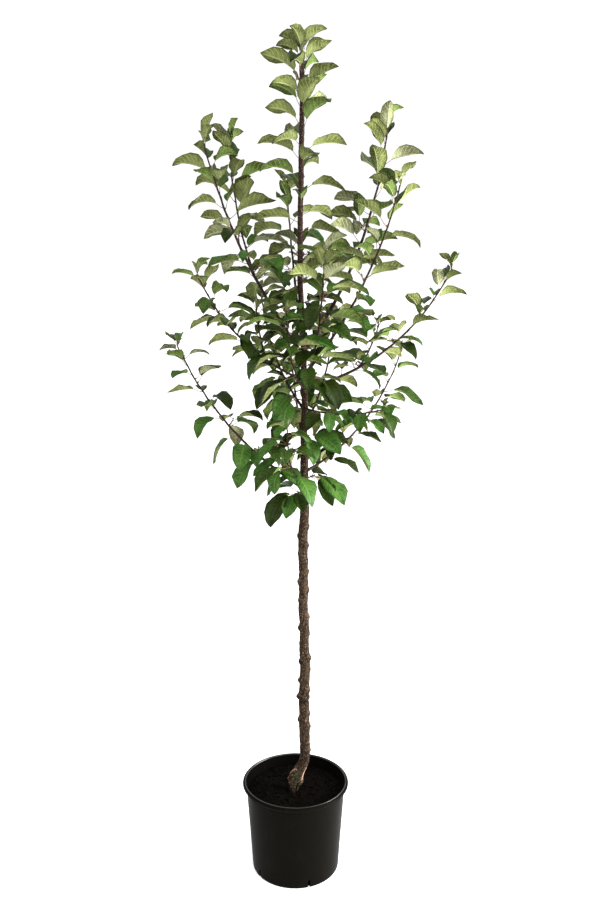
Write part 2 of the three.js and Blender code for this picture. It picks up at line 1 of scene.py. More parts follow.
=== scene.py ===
"""Looks for a young dwarf apple tree in a round nursery pot.

Sizes are in millimetres and angles in degrees, and a mesh is put into metres as it is made. The
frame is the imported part's: +Z up, the origin in the middle of the pot's flat underside, and the
tree's fuller face towards -Y. Headings are degrees from +X towards +Y, rises degrees above level.
"""

import functools
import math

import bmesh
import bpy
import numpy as np
from bpy.props import FloatProperty, FloatVectorProperty, IntProperty, PointerProperty
from mathutils import Matrix, Vector, noise


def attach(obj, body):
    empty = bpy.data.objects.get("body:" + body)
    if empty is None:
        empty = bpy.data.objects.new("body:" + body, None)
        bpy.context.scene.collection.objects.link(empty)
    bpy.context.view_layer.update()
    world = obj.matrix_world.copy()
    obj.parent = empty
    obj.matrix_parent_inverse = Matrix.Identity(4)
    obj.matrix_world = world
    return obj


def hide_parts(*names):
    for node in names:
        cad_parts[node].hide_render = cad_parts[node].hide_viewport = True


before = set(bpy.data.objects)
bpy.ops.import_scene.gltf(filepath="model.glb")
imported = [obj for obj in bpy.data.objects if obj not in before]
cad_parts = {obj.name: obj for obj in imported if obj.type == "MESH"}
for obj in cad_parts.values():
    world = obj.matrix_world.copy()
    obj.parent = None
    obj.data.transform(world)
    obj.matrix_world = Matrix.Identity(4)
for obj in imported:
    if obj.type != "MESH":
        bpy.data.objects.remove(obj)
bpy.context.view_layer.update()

bl_info = {
    "name": "Potted apple tree",
    "version": (1, 0, 0),
    "blender": (4, 5, 0),
    "location": "3D Viewport > Sidebar > Tree",
    "description": "Grows a young potted apple tree on its packed part",
    "category": "Object",
}

MM = 0.001


class Sizes(dict):
    """Named values, which are read as attributes."""

    __getattr__ = dict.__getitem__


# ---------------------------------------------------------------- sizes shared with the part

POT = Sizes(
    height=245, foot_radius=115, shoulder_radius=130, shoulder_height=229, lip_radius=140,
    lip_height=8, wall=2.6, floor=3.2)
DRAIN = Sizes(count=5, width=6, height=22, depth=16, first_heading=216)
SOIL = Sizes(top=220, flat_radius=60, edge_drop=6, seat=0.3)
TRUNK = Sizes(
    top=1640, crown_foot=960,
    radii=[(220, 13), (236, 16.5), (250, 20), (263, 18), (278, 14.2), (300, 13), (480, 12.6),
           (750, 11.4), (960, 12), (1060, 10.8), (1130, 9.5), (1240, 8), (1400, 7.2),
           (1640, 6.5), (1850, 6.1), (2000, 5.6), (2060, 4.6)],
    graft=Sizes(low=236, high=312, x=-4, y=-11, lean_x=26, lean_y=11),
    sway=Sizes(low=1330, high=1560, x=-9),
    flare=Sizes(height=50, headings=(248, 12), spread=36, swell=0.5))


def bough(name, height, heading, rise, bend, sway, length, butt, bare, leaves, leaf, seed,
          forks=()):
    """One main bough, with its leaves' count and length and the forks it carries."""
    return Sizes(name=name, height=height, heading=heading, rise=rise, bend=bend, sway=sway,
                 length=length, butt=butt, bare=bare, leaves=leaves, leaf=leaf, seed=seed,
                 forks=forks)


def fork(share, turn, rise, bend, length, leaves):
    """A branch that leaves its bough at a share of the bough's length."""
    return Sizes(share=share, turn=turn, rise=rise, bend=bend, length=length, leaves=leaves)


BOUGHS = [
    bough("upper_left", 1368, 162, 53, 23, 33, 552, 4.8, 0.36, 15, 76, 1,
          [fork(0.42, -40, 64, 22, 310, 12)]),
    bough("middle_left", 1312, 205, 22, 43, 3, 380, 3, 0.26, 13, 66, 2,
          [fork(0.3, 38, 60, 20, 130, 4)]),
    bough("lower_left", 1041, 176, 31, 34, -9, 475, 3.6, 0.2, 16, 66, 3),
    bough("upper_right", 1383, 24, 50, 29, 29, 608, 5, 0.34, 16, 78, 4),
    bough("front_right", 1325, -14, 50, 24, -20, 500, 3.7, 0.28, 13, 74, 5),
    bough("front_middle", 1312, -70, 39, 41, -14, 349, 2.8, 0.22, 14, 74, 6),
    bough("long_right", 1292, 8, 12, 52, 4, 478, 4, 0.2, 14, 66, 7,
          [fork(0.3, 34, 40, 30, 120, 4)]),
    bough("thin_right", 1244, -40, -9, 26, 19, 221, 1.9, 0.2, 7, 60, 8),
    bough("lower_right", 1083, 38, 16, 46, 6, 447, 3.1, 0.16, 14, 72, 9),
    bough("short_left", 1063, 235, 21, 70, 31, 184, 2.3, 0.15, 8, 72, 10),
    bough("front_left", 1290, 250, 28, 50, 10, 250, 2.6, 0.2, 12, 80, 11),
    bough("back_high", 1350, 98, 50, 28, 10, 470, 4.2, 0.28, 13, 78, 12),
    bough("back_low", 1130, 96, 30, 40, 10, 380, 3.4, 0.28, 11, 78, 13),
    bough("back_left", 1240, 128, 34, 40, -8, 330, 3, 0.25, 11, 76, 14),
    bough("back_right", 1200, 62, 30, 42, 12, 330, 3, 0.25, 11, 76, 15),
]
BOUGH_TIP = 1.6
COLLAR = Sizes(exit=1.25, swell=0.45, fade=14)  # the swelling of a bough where it leaves the bark

# How the leaves of each kind of shoot follow each other from its tip down.
BOUGH_HABIT = Sizes(crowding=1.2, first=0.66, growth=0.1, largest=1.15, scatter=0.12, youth=26)
LEADER_HABIT = Sizes(crowding=1.6, first=0.74, growth=0.035, largest=1, scatter=0.12, youth=0)
CLUSTER_HABIT = Sizes(crowding=0.85, first=1, growth=-0.05, largest=1, scatter=0.1, youth=0)
YOUNG_LEAVES = 4

FORK = Sizes(butt=2.6, tip=1.4, bare=0.12, habit=BOUGH_HABIT)
TWIG = Sizes(
    every=135, counted_to=1, up_to=0.62, turn=100, turn_scatter=25, rise=20, rise_scatter=25,
    length=26, length_scatter=10, leaves=3, leaf_share=1.04, bare=0.45, butt=1.6, tip=1.2,
    habit=CLUSTER_HABIT)
LEADER = Sizes(
    rise=89, heading=-60, length=414, bare=0.01, leaves=34, leaf=84, seed=40, habit=LEADER_HABIT)
SPUR = Sizes(
    count=13, first=1024, pitch=48, shift=8, heading=222, rise=8, reach=22, reach_scatter=16,
    leaves=5, leaf_low=92, leaf_high=84, lowest=1000, highest=1700, bare=0.6, butt=1.9, tip=1.4,
    seed=90, habit=CLUSTER_HABIT)
SHOOT = Sizes(turns=(0, 30, -30, 60, -60, 90, -90), gap=4, bend=20)
LEAF = Sizes(
    stations=6, outline=(0, 0.7, 0.97, 1, 0.86, 0.5, 0), half_width=0.33, stalk=0.33,
    stalk_scatter=0.04, stalk_rise=14, forward=0.5, outward=0.87, heading_scatter=20, rise=-26,
    rise_by_light=58, rise_by_lift=0.25, rise_scatter=20, steepest=78, droop=46,
    droop_by_light=-10, droop_scatter=22, curl=24, roll_scatter=22, roll_at_foot=0.4,
    roll_to_sun=0.85, sun_low=-0.6, sun_high=0.9, fold=26, fold_by_light=16, fold_scatter=12,
    low_light=1150, high_light=2000, light_outward=0.9)
# The gaps that a leaf keeps, from how many leaf lengths away things are looked at, and how it
# is turned aside and shrinks when it is crowded.
CROWDED = Sizes(
    leaf_gap=5.5, leaf_reach=3, limb_gap=3, limb_reach=2,
    turns=(0, 26, -26, 55, -55, 90, -90, 130), shrink=0.04)
GOLDEN_TURN = 137.5
FIRST_TURN = 60  # between the first leaves of shoots whose seeds are next to each other
PATH_STEPS = 16
LIMB_STEP = 7  # between the points that stand for a limb
LIMB_KINDS = ("bough", "fork")
UPRIGHT = 0.05  # an axis that leans less than this has no side of its own

# ---------------------------------------------------------------- what only the looks have

# Finer side shoots between the twigs and nearer the trunk.
SPRIG = Sizes(
    every=110, first=0.07, counted_to=0.5, up_to=0.5, turn=82, turn_scatter=40, rise=30,
    rise_scatter=30, length=16, length_scatter=6, leaves=2, leaf_share=0.9, bare=0.5, butt=1.2,
    tip=0.9, seed=200, habit=CLUSTER_HABIT)
# Small leaves between the others towards the ends of all boughs and forks but the back ones.
TIP = Sizes(
    kind="tip", leaves=5, bare=0.62,
    habit=Sizes(crowding=1, first=0.84, growth=0.05, largest=1, scatter=0.15, youth=22))
TIP_SEED = 300
# The two youngest leaves, which stand folded at a tip.
FURLED = Sizes(
    sizes=(30, 22), first=60, rise=72, turn=150, turn_scatter=40, fold=62, droop=10, more_droop=20,
    stalk=3, roll_scatter=20)
BLADE = Sizes(
    stations=(0, 3, 10, 20, 32, 44, 54, 60, 64), substeps=64,
    outline=(0, 0.36, 0.74, 0.97, 1, 0.83, 0.49, 0.21, 0), inner=0.62, lift=12, recurve=34,
    wave=30, waves=1.3, uneven=0.015, tip_hook=36, hook_from=0.7, hook_over=0.3)
BLADE_MAP = "blade"  # the flat map on which a blade's veins are drawn

# ---------------------------------------------------------------- small helpers


def jitter(seed, turn):
    """A repeatable scatter from -1 to 1. The fractions added to a turn keep scatters apart."""
    x = math.sin(seed * 12.9898 + turn * 78.233) * 43758.5453
    return 2 * (x - math.floor(x)) - 1


def lot(seed, turn):
    """A repeatable share from 0 to 1."""
    return 0.5 + 0.5 * jitter(seed, turn)


def scattered(sizes, name, seed, turn):
    """One of the sizes, with its scatter."""
    return sizes[name] + sizes[name + "_scatter"] * jitter(seed, turn)


def direction(heading, rise):
    """Unit vectors for headings and rises, which may be arrays."""
    heading, rise = np.radians(heading), np.radians(rise)
    level = np.cos(rise)
    return np.stack((level * np.cos(heading), level * np.sin(heading), np.sin(rise)), axis=-1)


def portion(low, high, value):
    """How far a value is from low to high, from 0 to 1."""
    return min(max((value - low) / (high - low), 0), 1)


def ease(low, high, value):
    """The same, with soft ends."""
    t = portion(low, high, value)
    return t * t * (3 - 2 * t)


def blend(a, b, t):
    """The value at a share of the way from a to b."""
    return a + (b - a) * t


def unit(v):
    """A vector, or each of an array's, brought to length 1."""
    return v / np.linalg.norm(v, axis=-1, keepdims=True)


def least_gap(points, others, radii=0):
    """The smallest distance from the points to the others, which may have radii."""
    if not len(others):
        return math.inf
    return (np.linalg.norm(points[:, None] - others[None], axis=2) - radii).min()


def tint(code):
    """The linear colour of a hex code."""
    parts = [int(code[i:i + 2], 16) / 255 for i in (0, 2, 4)]
    return (*(c / 12.92 if c <= 0.04045 else ((c + 0.055) / 1.055) ** 2.4 for c in parts), 1.0)


# ---------------------------------------------------------------- the growth rule


def trunk_radius(z):
    """The trunk's radius at a height, the leader's too."""
    return float(np.interp(z, *zip(*TRUNK.radii)))


def trunk_centre(z):
    """The middle of the trunk at a height."""
    graft, sway = TRUNK.graft, TRUNK.sway
    lean = ease(graft.low, graft.high, z)
    x = graft.x + graft.lean_x * lean + sway.x * ease(sway.low, sway.high, z)
    return np.array((x, graft.y + graft.lean_y * lean, z))


def grow_path(start, heading, rise, bend, sway, length):
    """A limb's axis, which turns up by its bend and aside by its sway from foot to tip."""
    points = [np.array(start, float)]
    for i in range(PATH_STEPS):
        s = (i + 0.5) / PATH_STEPS
        points.append(points[i] + direction(heading + sway * s, rise + bend * s)
                      * (length / PATH_STEPS))
    return np.array(points)


def path_spot(path, along):
    """The point and the direction at a share of a path."""
    x = min(max(along, 0), 1) * (len(path) - 1)
    i = min(int(x), len(path) - 2)
    return blend(path[i], path[i + 1], x - i), unit(path[i + 1] - path[i])


class Limbs:
    """Points along the limbs' axes, with each limb's radius there and the mass it is of. The
    trunk's are there from the start."""

    def __init__(self):
        heights = np.arange(TRUNK.crown_foot, TRUNK.top + LEADER.length, LIMB_STEP)
        self.points = [trunk_centre(z) for z in heights]
        self.radii = [trunk_radius(z) for z in heights]
        self.masses = ["trunk"] * len(heights)

    def add(self, shoot):
        """Takes in a shoot's axis."""
        count = max(int(shoot.length / LIMB_STEP), 2)
        for i in range(count + 1):
            self.points.append(path_spot(shoot.path, i / count)[0])
            self.radii.append(blend(shoot.butt, shoot.tip, i / count))
            self.masses.append(shoot.mass)

    def clear(self, points, gap, carrier=None):
        """Whether points keep a gap to all limbs but the carrier's."""
        keep = np.array([mass != carrier for mass in self.masses])
        limbs, radii = np.array(self.points)[keep], np.array(self.radii)[keep]
        return least_gap(np.array(points), limbs, radii) >= gap


def place_shoot(shoots, shoot, limbs, carrier, bark, start, heading, rise):
    """Puts a short shoot on at the first heading that keeps it clear of all but its carrier."""
    for turn in SHOOT.turns:
        path = grow_path(start, heading + turn, rise, SHOOT.bend, 0, shoot.length)
        outer = [p for p in path if np.linalg.norm(p - start) > bark]
        if limbs.clear(outer, SHOOT.gap, carrier):
            shoots.append(Sizes(shoot, path=path))
            limbs.add(shoots[-1])
            return


def grow_bough(b):
    """A main bough, as a shoot."""
    path = grow_path(trunk_centre(b.height), b.heading, b.rise, b.bend, b.sway, b.length)
    return Sizes(b, mass=b.name, kind="bough", path=path, tip=BOUGH_TIP, habit=BOUGH_HABIT)


def grow_fork(stem, f, k):
    """A fork of a bough, as a shoot."""
    start = path_spot(stem.path, f.share)[0]
    heading = stem.heading + stem.sway * f.share + f.turn
    return Sizes(FORK, mass=stem.mass, kind="fork", length=f.length, leaves=f.leaves,
                 path=grow_path(start, heading, f.rise, f.bend, 0, f.length),
                 leaf=stem.leaf, seed=stem.seed + 20 + k)


def grow_side_shoots(shoots, stem, limbs, habit, kind, first, seed):
    """Short shoots on alternate sides of a bough's older part."""
    count = int(stem.length * (habit.counted_to - first) / habit.every)
    for k in range(count):
        along = blend(first, habit.up_to, (k + 0.5) / count)
        side = 1 if (k + stem.seed) % 2 else -1
        shoot = Sizes(habit, mass=stem.mass, kind=kind, leaf=stem.leaf * habit.leaf_share,
                      length=scattered(habit, "length", seed, k + 0.1), seed=seed + 50 + 7 * k)
        place_shoot(shoots, shoot, limbs, stem.mass, stem.butt, path_spot(stem.path, along)[0],
                    stem.heading + stem.sway * along
                    + side * scattered(habit, "turn", seed, k + 0.5),
                    scattered(habit, "rise", seed, k + 0.7))


def grow_spurs(spurs, limbs):
    """Leafy spurs round the trunk, a golden turn apart."""
    for k in range(SPUR.count):
        z = SPUR.first + k * SPUR.pitch + SPUR.shift * jitter(SPUR.seed, k)
        bark = trunk_radius(z)
        length = bark + SPUR.reach + SPUR.reach_scatter * jitter(SPUR.seed + 1, k)
        leaf = blend(SPUR.leaf_low, SPUR.leaf_high, portion(SPUR.lowest, SPUR.highest, z))
        spur = Sizes(SPUR, mass=f"spur_{k + 1:02d}", kind="spur", length=length, leaf=leaf,
                     seed=SPUR.seed + 2 + k)
        place_shoot(spurs, spur, limbs, "trunk", bark, trunk_centre(z),
                    SPUR.heading + GOLDEN_TURN * k, SPUR.rise)


def grow_shoots(limbs):
    """Every shoot of the part, in the part's order."""
    boughs = [grow_bough(b) for b in BOUGHS]
    for stem in boughs:
        limbs.add(stem)
    shoots = list(boughs)
    for stem in boughs:
        shoots += [grow_fork(stem, f, k) for k, f in enumerate(stem.forks)]
        grow_side_shoots(shoots, stem, limbs, TWIG, "twig", stem.bare, stem.seed)
    for shoot in shoots:
        if shoot.kind == "fork":
            limbs.add(shoot)
    path = grow_path(trunk_centre(TRUNK.top), LEADER.heading, LEADER.rise, 0, 0, LEADER.length)
    shoots.append(Sizes(LEADER, mass="leader", kind="leader", path=path,
                        butt=trunk_radius(TRUNK.top),
                        tip=trunk_radius(TRUNK.top + LEADER.length)))
    grow_spurs(shoots, limbs)
    return shoots


def roll_to_sun(heading, rise, light):
    """How far a blade would roll about its midrib to turn its face to the light, which comes
    from the front at the foot of the crown and from behind higher up."""
    right = direction(heading - 90, 0)
    face = np.cross(right, direction(heading, rise))
    sun = np.array((0, blend(LEAF.sun_low, LEAF.sun_high, light), 1))
    return math.degrees(math.atan2(-sun @ right, sun @ face))


def leaf_stance(root, axis, turn, size, seed, n, youth):
    """How a leaf stands: up at the crown's top and outside, where the light is, and hanging
    lower down and further in."""
    side = np.cross((0, 0, 1), axis)
    side = unit(side) if np.linalg.norm(side) > UPRIGHT else np.array((1.0, 0, 0))
    over = np.cross(axis, side)
    out = side * math.cos(math.radians(turn)) + over * math.sin(math.radians(turn))
    reach = axis * LEAF.forward + out * LEAF.outward
    lift = math.degrees(math.asin(max(-1, min(1, reach[2] / np.linalg.norm(reach)))))
    far = math.hypot(root[0], root[1])
    light = portion(LEAF.low_light, LEAF.high_light, root[2] + LEAF.light_outward * far)
    heading = (math.degrees(math.atan2(reach[1], reach[0]))
               + LEAF.heading_scatter * jitter(seed, n + 0.3))
    rise = min(LEAF.rise + LEAF.rise_by_light * light + LEAF.rise_by_lift * lift
               + LEAF.rise_scatter * jitter(seed, n + 0.6) + youth, LEAF.steepest)
    droop = (LEAF.droop + LEAF.droop_by_light * light
             + LEAF.droop_scatter * jitter(seed, n + 0.45))
    broad_rise = rise - droop / 3  # a third of the way along, where the blade is broadest
    return Sizes(
        root=root, size=size, seed=seed, n=n, light=light, heading=heading, rise=rise,
        droop=droop, stalk=size * scattered(LEAF, "stalk", seed, n + 0.2),
        curl=LEAF.curl * jitter(seed, n + 0.9),
        roll=(LEAF.roll_to_sun * roll_to_sun(heading, broad_rise, light)
              + LEAF.roll_scatter * jitter(seed, n + 0.15)),
        fold=LEAF.fold + LEAF.fold_by_light * light + LEAF.fold_scatter * jitter(seed, n + 0.75))


def stalk_way(leaf):
    """The direction in which a leaf's stalk leaves its shoot."""
    return direction(leaf.heading, leaf.rise + LEAF.stalk_rise)


def midrib(leaf, steps):
    """The points along a blade's middle, from the end of its stalk, a step between each."""
    foot = leaf.root + stalk_way(leaf) * leaf.stalk
    return np.vstack((foot, foot + np.cumsum(steps, axis=0) * (leaf.size / len(steps))))


def blade_samples(leaf):
    """The points that stand for a blade when its distance to other things is taken."""
    count = LEAF.stations
    s = (np.arange(count) + 0.5) / count
    steps = direction(leaf.heading + leaf.curl * s, leaf.rise - leaf.droop * s)
    middle = midrib(leaf, steps)
    steps = np.vstack((steps, steps[-1:]))
    across, face = blade_axes(leaf, steps, np.arange(count + 1) / count)
    half = (leaf.size * LEAF.half_width * np.array(LEAF.outline))[:, None]
    fold = math.radians(leaf.fold)
    rim = middle + face * half * math.sin(fold)
    left, right = rim - across * half * math.cos(fold), rim + across * half * math.cos(fold)
    inner = slice(1, count)
    return np.concatenate((middle, left[inner], right[inner], (left + middle)[inner] / 2,
                           (right + middle)[inner] / 2))


def blade_axes(leaf, steps, along):
    """Across and face vectors at points along a blade, rolled more and more towards its tip."""
    right_hand = direction(leaf.heading + leaf.curl / 2 - 90, 0)
    across = unit(right_hand - steps * (steps @ right_hand)[:, None])
    face = np.cross(across, steps)
    tilt = np.radians(leaf.roll * (LEAF.roll_at_foot + along))[:, None]
    return (across * np.cos(tilt) + face * np.sin(tilt),
            face * np.cos(tilt) - across * np.sin(tilt))


def has_room(samples, size, limb_points, limb_radii, taken):
    """Whether a blade keeps its gaps to the limbs and to the blades that are taken in."""
    near = np.abs(limb_points - samples[0]).max(axis=1) < CROWDED.limb_reach * size
    if least_gap(samples, limb_points[near], limb_radii[near]) < CROWDED.limb_gap:
        return False
    others = [t for t in taken if np.abs(t[0] - samples[0]).max() < CROWDED.leaf_reach * size]
    return not others or least_gap(samples, np.concatenate(others)) >= CROWDED.leaf_gap


def grow_leaves(shoots, limbs, taken):
    """Hangs leaves in golden turns. One that would crowd another or touch a limb is turned
    aside and made a little smaller, and is left out when no turn is free."""
    leaves = []
    limb_points, limb_radii = np.array(limbs.points), np.array(limbs.radii)
    for shoot in shoots:
        habit = shoot.habit
        for i in range(shoot.leaves):
            size = (shoot.leaf * (1 + habit.scatter * jitter(shoot.seed, i))
                    * min(habit.largest, habit.first + habit.growth * i))
            youth = habit.youth * max(0, 1 - i / YOUNG_LEAVES)
            along = 1 - (1 - shoot.bare) * (i / (shoot.leaves - 1)) ** habit.crowding
            point, axis = path_spot(shoot.path, along)
            turn = GOLDEN_TURN * i + FIRST_TURN * shoot.seed
            for k, aside in enumerate(CROWDED.turns):
                leaf = leaf_stance(point, axis, turn + aside, size * (1 - CROWDED.shrink * k),
                                   shoot.seed, i, youth)
                samples = blade_samples(leaf)
                if has_room(samples, size, limb_points, limb_radii, taken):
                    taken.append(samples)
                    leaves.append(Sizes(leaf, mass=shoot.mass, kind=shoot.kind,
                                        bark=blend(shoot.butt, shoot.tip, along)))
                    break
    return leaves


def furled_leaves(shoot):
    """The two youngest leaves, still folded, that stand up from a shoot's tip."""
    tip, axis = path_spot(shoot.path, 1)
    away = math.degrees(math.atan2(axis[1], axis[0]))
    return [Sizes(
        root=tip, size=size, seed=shoot.seed, n=FURLED.first + k, light=1,
        heading=away + FURLED.turn * k + FURLED.turn_scatter * jitter(shoot.seed, k + 0.3),
        rise=FURLED.rise, droop=FURLED.droop + FURLED.more_droop * k, stalk=FURLED.stalk, curl=0,
        roll=FURLED.roll_scatter * jitter(shoot.seed, k), fold=FURLED.fold, mass=shoot.mass,
        kind="furled", bark=shoot.tip) for k, size in enumerate(FURLED.sizes)]


@functools.cache
def grow_tree():
    """The part's shoots and leaves, and the finer ones that only the looks have."""
    limbs = Limbs()
    shoots = grow_shoots(limbs)
    taken = []
    leaves = grow_leaves(shoots, limbs, taken)
    sprigs = []
    for stem in shoots:
        if stem.kind == "bough":
            grow_side_shoots(sprigs, stem, limbs, SPRIG, "sprig", SPRIG.first,
                             stem.seed + SPRIG.seed)
    tips = [Sizes({**s, **TIP}, seed=s.seed + TIP_SEED) for s in shoots
            if s.kind in LIMB_KINDS and not s.mass.startswith("back")]
    leaves += grow_leaves(tips + sprigs, limbs, taken)
    for shoot in shoots:
        if shoot.kind in (*LIMB_KINDS, "leader"):
            leaves += furled_leaves(shoot)
    return shoots + sprigs, leaves


# ---------------------------------------------------------------- shader maths


class Reading:
    """A shader output. Arithmetic on it adds Math nodes, in either order."""

    def __init__(self, finish, socket):
        self.finish, self.socket = finish, socket

    def math(self, operation, *others):
        inputs = dict(enumerate((self, *others)))
        return self.finish.node("Math", {"operation": operation}, inputs)

    def __add__(self, other):
        return self.math("ADD", other)

    def __sub__(self, other):
        return self.math("SUBTRACT", other)

    def __mul__(self, other):
        return self.math("MULTIPLY", other)

    def __rsub__(self, other):
        return self.finish.node("Math", {"operation": "SUBTRACT"}, {0: other, 1: self})

    __radd__, __rmul__ = __add__, __mul__

    def __abs__(self):
        return self.math("ABSOLUTE")

    def between(self, low, high):
        """0 below low, 1 above high, and smooth in between; high may be the lower one."""
        return self.finish.node("MapRange", {"interpolation_type": "SMOOTHSTEP"},
                                {"Value": self, 1: low, 2: high, 3: 0, 4: 1})


class Finish:
    """A material in the making, on one Principled shader."""

    def __init__(self, name, roughness, specular, **constants):
        self.material = bpy.data.materials.new(name)
        self.material.use_nodes = True
        self.tree = self.material.node_tree
        self.shader = self.tree.nodes["Principled BSDF"]
        self.shader.inputs["Roughness"].default_value = roughness
        self.shader.inputs["Specular IOR Level"].default_value = specular
        for socket, value in constants.items():
            self.shader.inputs[socket.replace("_", " ").title()].default_value = value

    def node(self, kind, settings, values, output=0):
        """A node with its settings, then its sockets' values or links; gives one output."""
        made = self.tree.nodes.new(f"ShaderNode{kind}")
        for key, value in settings.items():
            setattr(made, key, value)
        for key, value in values.items():
            if isinstance(value, Reading):
                self.tree.links.new(value.socket, made.inputs[key])
            else:
                made.inputs[key].default_value = value
        return Reading(self, made.outputs[output])

    def place(self, drawn=1):
        """Where a point is on the piece, in metres. A pattern is drawn out upwards when its
        heights are multiplied by less than 1."""
        spot = self.node("TexCoord", {}, {}, "Object")
        return self.node("Mapping", {}, {"Vector": spot, "Scale": (1, 1, drawn)})

    def height(self):
        """The height above the floor, in metres."""
        return self.node("SeparateXYZ", {}, {"Vector": self.place()}, "Z")

    def grain(self, size, detail=3, drawn=1, roughness=0.55):
        """Noise with features of a size in millimetres, centred on a half."""
        return self.node("TexNoise", {}, {
            "Vector": self.place(drawn), "Scale": 1 / (size * MM), "Detail": detail,
            "Roughness": roughness})

    def spots(self, size, drawn=1):
        """The distance to the nearest of many scattered points, 0 at a point."""
        return self.node("TexVoronoi", {}, {
            "Vector": self.place(drawn), "Scale": 1 / (size * MM)}, "Distance")

    def mark(self, name):
        """A number kept on the mesh's points."""
        return self.node("Attribute", {"attribute_name": name}, {}, "Fac")

    def mixed(self, factor, a, b):
        """Colour a, and colour b where the factor is 1."""
        return self.node("Mix", {"data_type": "RGBA"}, {0: factor, 6: a, 7: b}, 2)

    def paint(self, colour, roughness=None, relief=None, depth=1.0):
        """Links colour, roughness and relief, whose depth is in millimetres."""
        if relief is not None:
            relief = self.node("Bump", {}, {"Height": relief, "Distance": depth * MM})
        for name, value in (("Base Color", colour), ("Roughness", roughness),
                            ("Normal", relief)):
            if value is not None:
                self.tree.links.new(value.socket, self.shader.inputs[name])
        return self.material


# ---------------------------------------------------------------- the looks a user may change

LONGEST = 50  # the longest length that can be set


def colour_prop(name, description, code):
    """A colour that a user may change, from its hex code."""
    return FloatVectorProperty(name=name, description=description, subtype="COLOR", size=4,
                               min=0, max=1, default=tint(code))


def length_prop(name, description, default):
    """A length that a user may change, from its millimetres."""
    return FloatProperty(name=name, description=description, default=default * MM, min=0,
                         max=LONGEST * MM, subtype="DISTANCE", unit="LENGTH", precision=4)


class PotLook(bpy.types.PropertyGroup):
    """The moulded nursery pot."""

    plastic: colour_prop("Plastic", "Colour of the pot's plastic", "0b0906")
    worn: colour_prop("Worn plastic", "Colour where the plastic is scuffed", "17120e")
    # The rim edge is lighter than the plastic: a painted highlight along the rim.
    edge: colour_prop("Rim edge", "Colour of the painted highlight along the rim", "24221f")
    bead: length_prop("Bead", "How far the line round the rim stands up", 0.9)
    sides: IntProperty(name="Sides", description="Flats round the pot", default=112, min=24,
                       max=256)


class SoilLook(bpy.types.PropertyGroup):
    """The potting soil."""

    dark: colour_prop("Wet soil", "Colour of the soil between the crumbs", "070504")
    light: colour_prop("Dry soil", "Colour of the drier crumbs", "120e0a")
    crumb: length_prop("Crumb", "Size of an ordinary crumb", 4)
    crumbs: IntProperty(name="Crumbs", description="How many loose crumbs lie on top",
                        default=900, min=0, max=5000)


class BarkLook(bpy.types.PropertyGroup):
    """The bark, old on the trunk and young on the boughs and the leader."""

    old: colour_prop("Old bark", "Colour of the trunk's bark", "261b12")
    pale: colour_prop("Pale flakes", "Colour of the weathered flakes", "574738")
    fleck: colour_prop("Flecks", "Colour of the pale pores", "8b7c69")
    # Darker in the cracks: partly the bark's own colour there, partly painted shade.
    crack: colour_prop("Cracks", "Colour down in the cracks", "120c08")
    young: colour_prop("Young bark", "Colour of the boughs", "261815")
    leader: colour_prop("Leader", "Colour of the leader's bark", "3a2a22")
    scar: colour_prop("Scars", "Colour of the cut wood at the graft", "b08d78")
    moss: colour_prop("Moss", "Colour of the green film by the soil", "1c2a12")
    relief: length_prop("Relief", "Depth of the trunk's cracks", 0.8)


class LeafLook(bpy.types.PropertyGroup):
    """The leaves, their stalks and the buds."""

    deep: colour_prop("Deep green", "Upper side of the shaded leaves", "25340a")
    fresh: colour_prop("Fresh green", "Upper side of most leaves", "38501c")
    bright: colour_prop("Bright green", "Upper side of the low leaves", "446a29")
    light: colour_prop("Light green", "Upper side of the young leaves", "6a7c3c")
    under_olive: colour_prop("Under, olive", "Underside of most leaves", "727a47")
    under_pale: colour_prop("Under, pale", "Underside of the paler leaves", "8d9169")
    under_green: colour_prop("Under, green", "Underside of the greener leaves", "5e7038")
    rib: colour_prop("Rib", "Colour of the midrib below", "a9aa7c")
    stalk: colour_prop("Stalk", "Colour of the leaf stalks", "7a6046")
    bud: colour_prop("Bud", "Colour of the buds", "4d3328")
    thickness: length_prop("Thickness", "Thickness of a blade at its rib", 0.5)


class StageLook(bpy.types.PropertyGroup):
    """The floor and the studio light."""

    floor: colour_prop("Floor", "Colour of the floor", "fbfbfb")
    power: FloatProperty(name="Key light", description="Power of the main soft light",
                         default=90, min=0, max=1000, subtype="POWER", unit="POWER")
    surround: FloatProperty(name="Surround", description="Brightness of the white surround",
                            default=1.1, min=0, max=10)
    glow: FloatProperty(name="Floor glow", description="How strongly the floor shines by itself",
                        default=0.45, min=0, max=2)


LOOKS = {"apple_pot": PotLook, "apple_soil": SoilLook, "apple_bark": BarkLook,
         "apple_leaf": LeafLook, "apple_stage": StageLook}


# ---------------------------------------------------------------- finishes

SMOOTH_BARK = (1.15, 1.75)  # the heights in metres between which old bark gives way to smooth
NEAR_SOIL_BARK = (0.246, 0.222)  # and those between which it gets darker towards the soil
MOTTLED = (0.62, 0.62, 0.62)  # how much darker the spots of a plain skin are
FLOOR_SHADE = (0.985, 0.985, 0.985)
VEINS = Sizes(count=8.5, slant=0.22)
# A blade's sides: their gloss, and how their marks change the blade's own colour.
UPPER_SIDE = Sizes(
    roughness=0.42, specular=0.13, dark=(0.38, 0.46, 0.32), gleam=(1.75, 1.5, 1.6), sheen=0.4,
    line=(2.4, 1.9, 2.1), lines=0.5, relief=-1)
UNDER_SIDE = Sizes(
    roughness=0.8, specular=0.04, dark=(0.33, 0.32, 0.24), gleam=(1.75, 1.75, 2.1), sheen=0.75,
    line=(2.1, 2.05, 2.4), lines=0.65, relief=1)


def scaled(colour, factors):
    """A colour with its red, green and blue multiplied."""
    return (*(min(1, c * factor) for c, factor in zip(colour, factors)), 1)


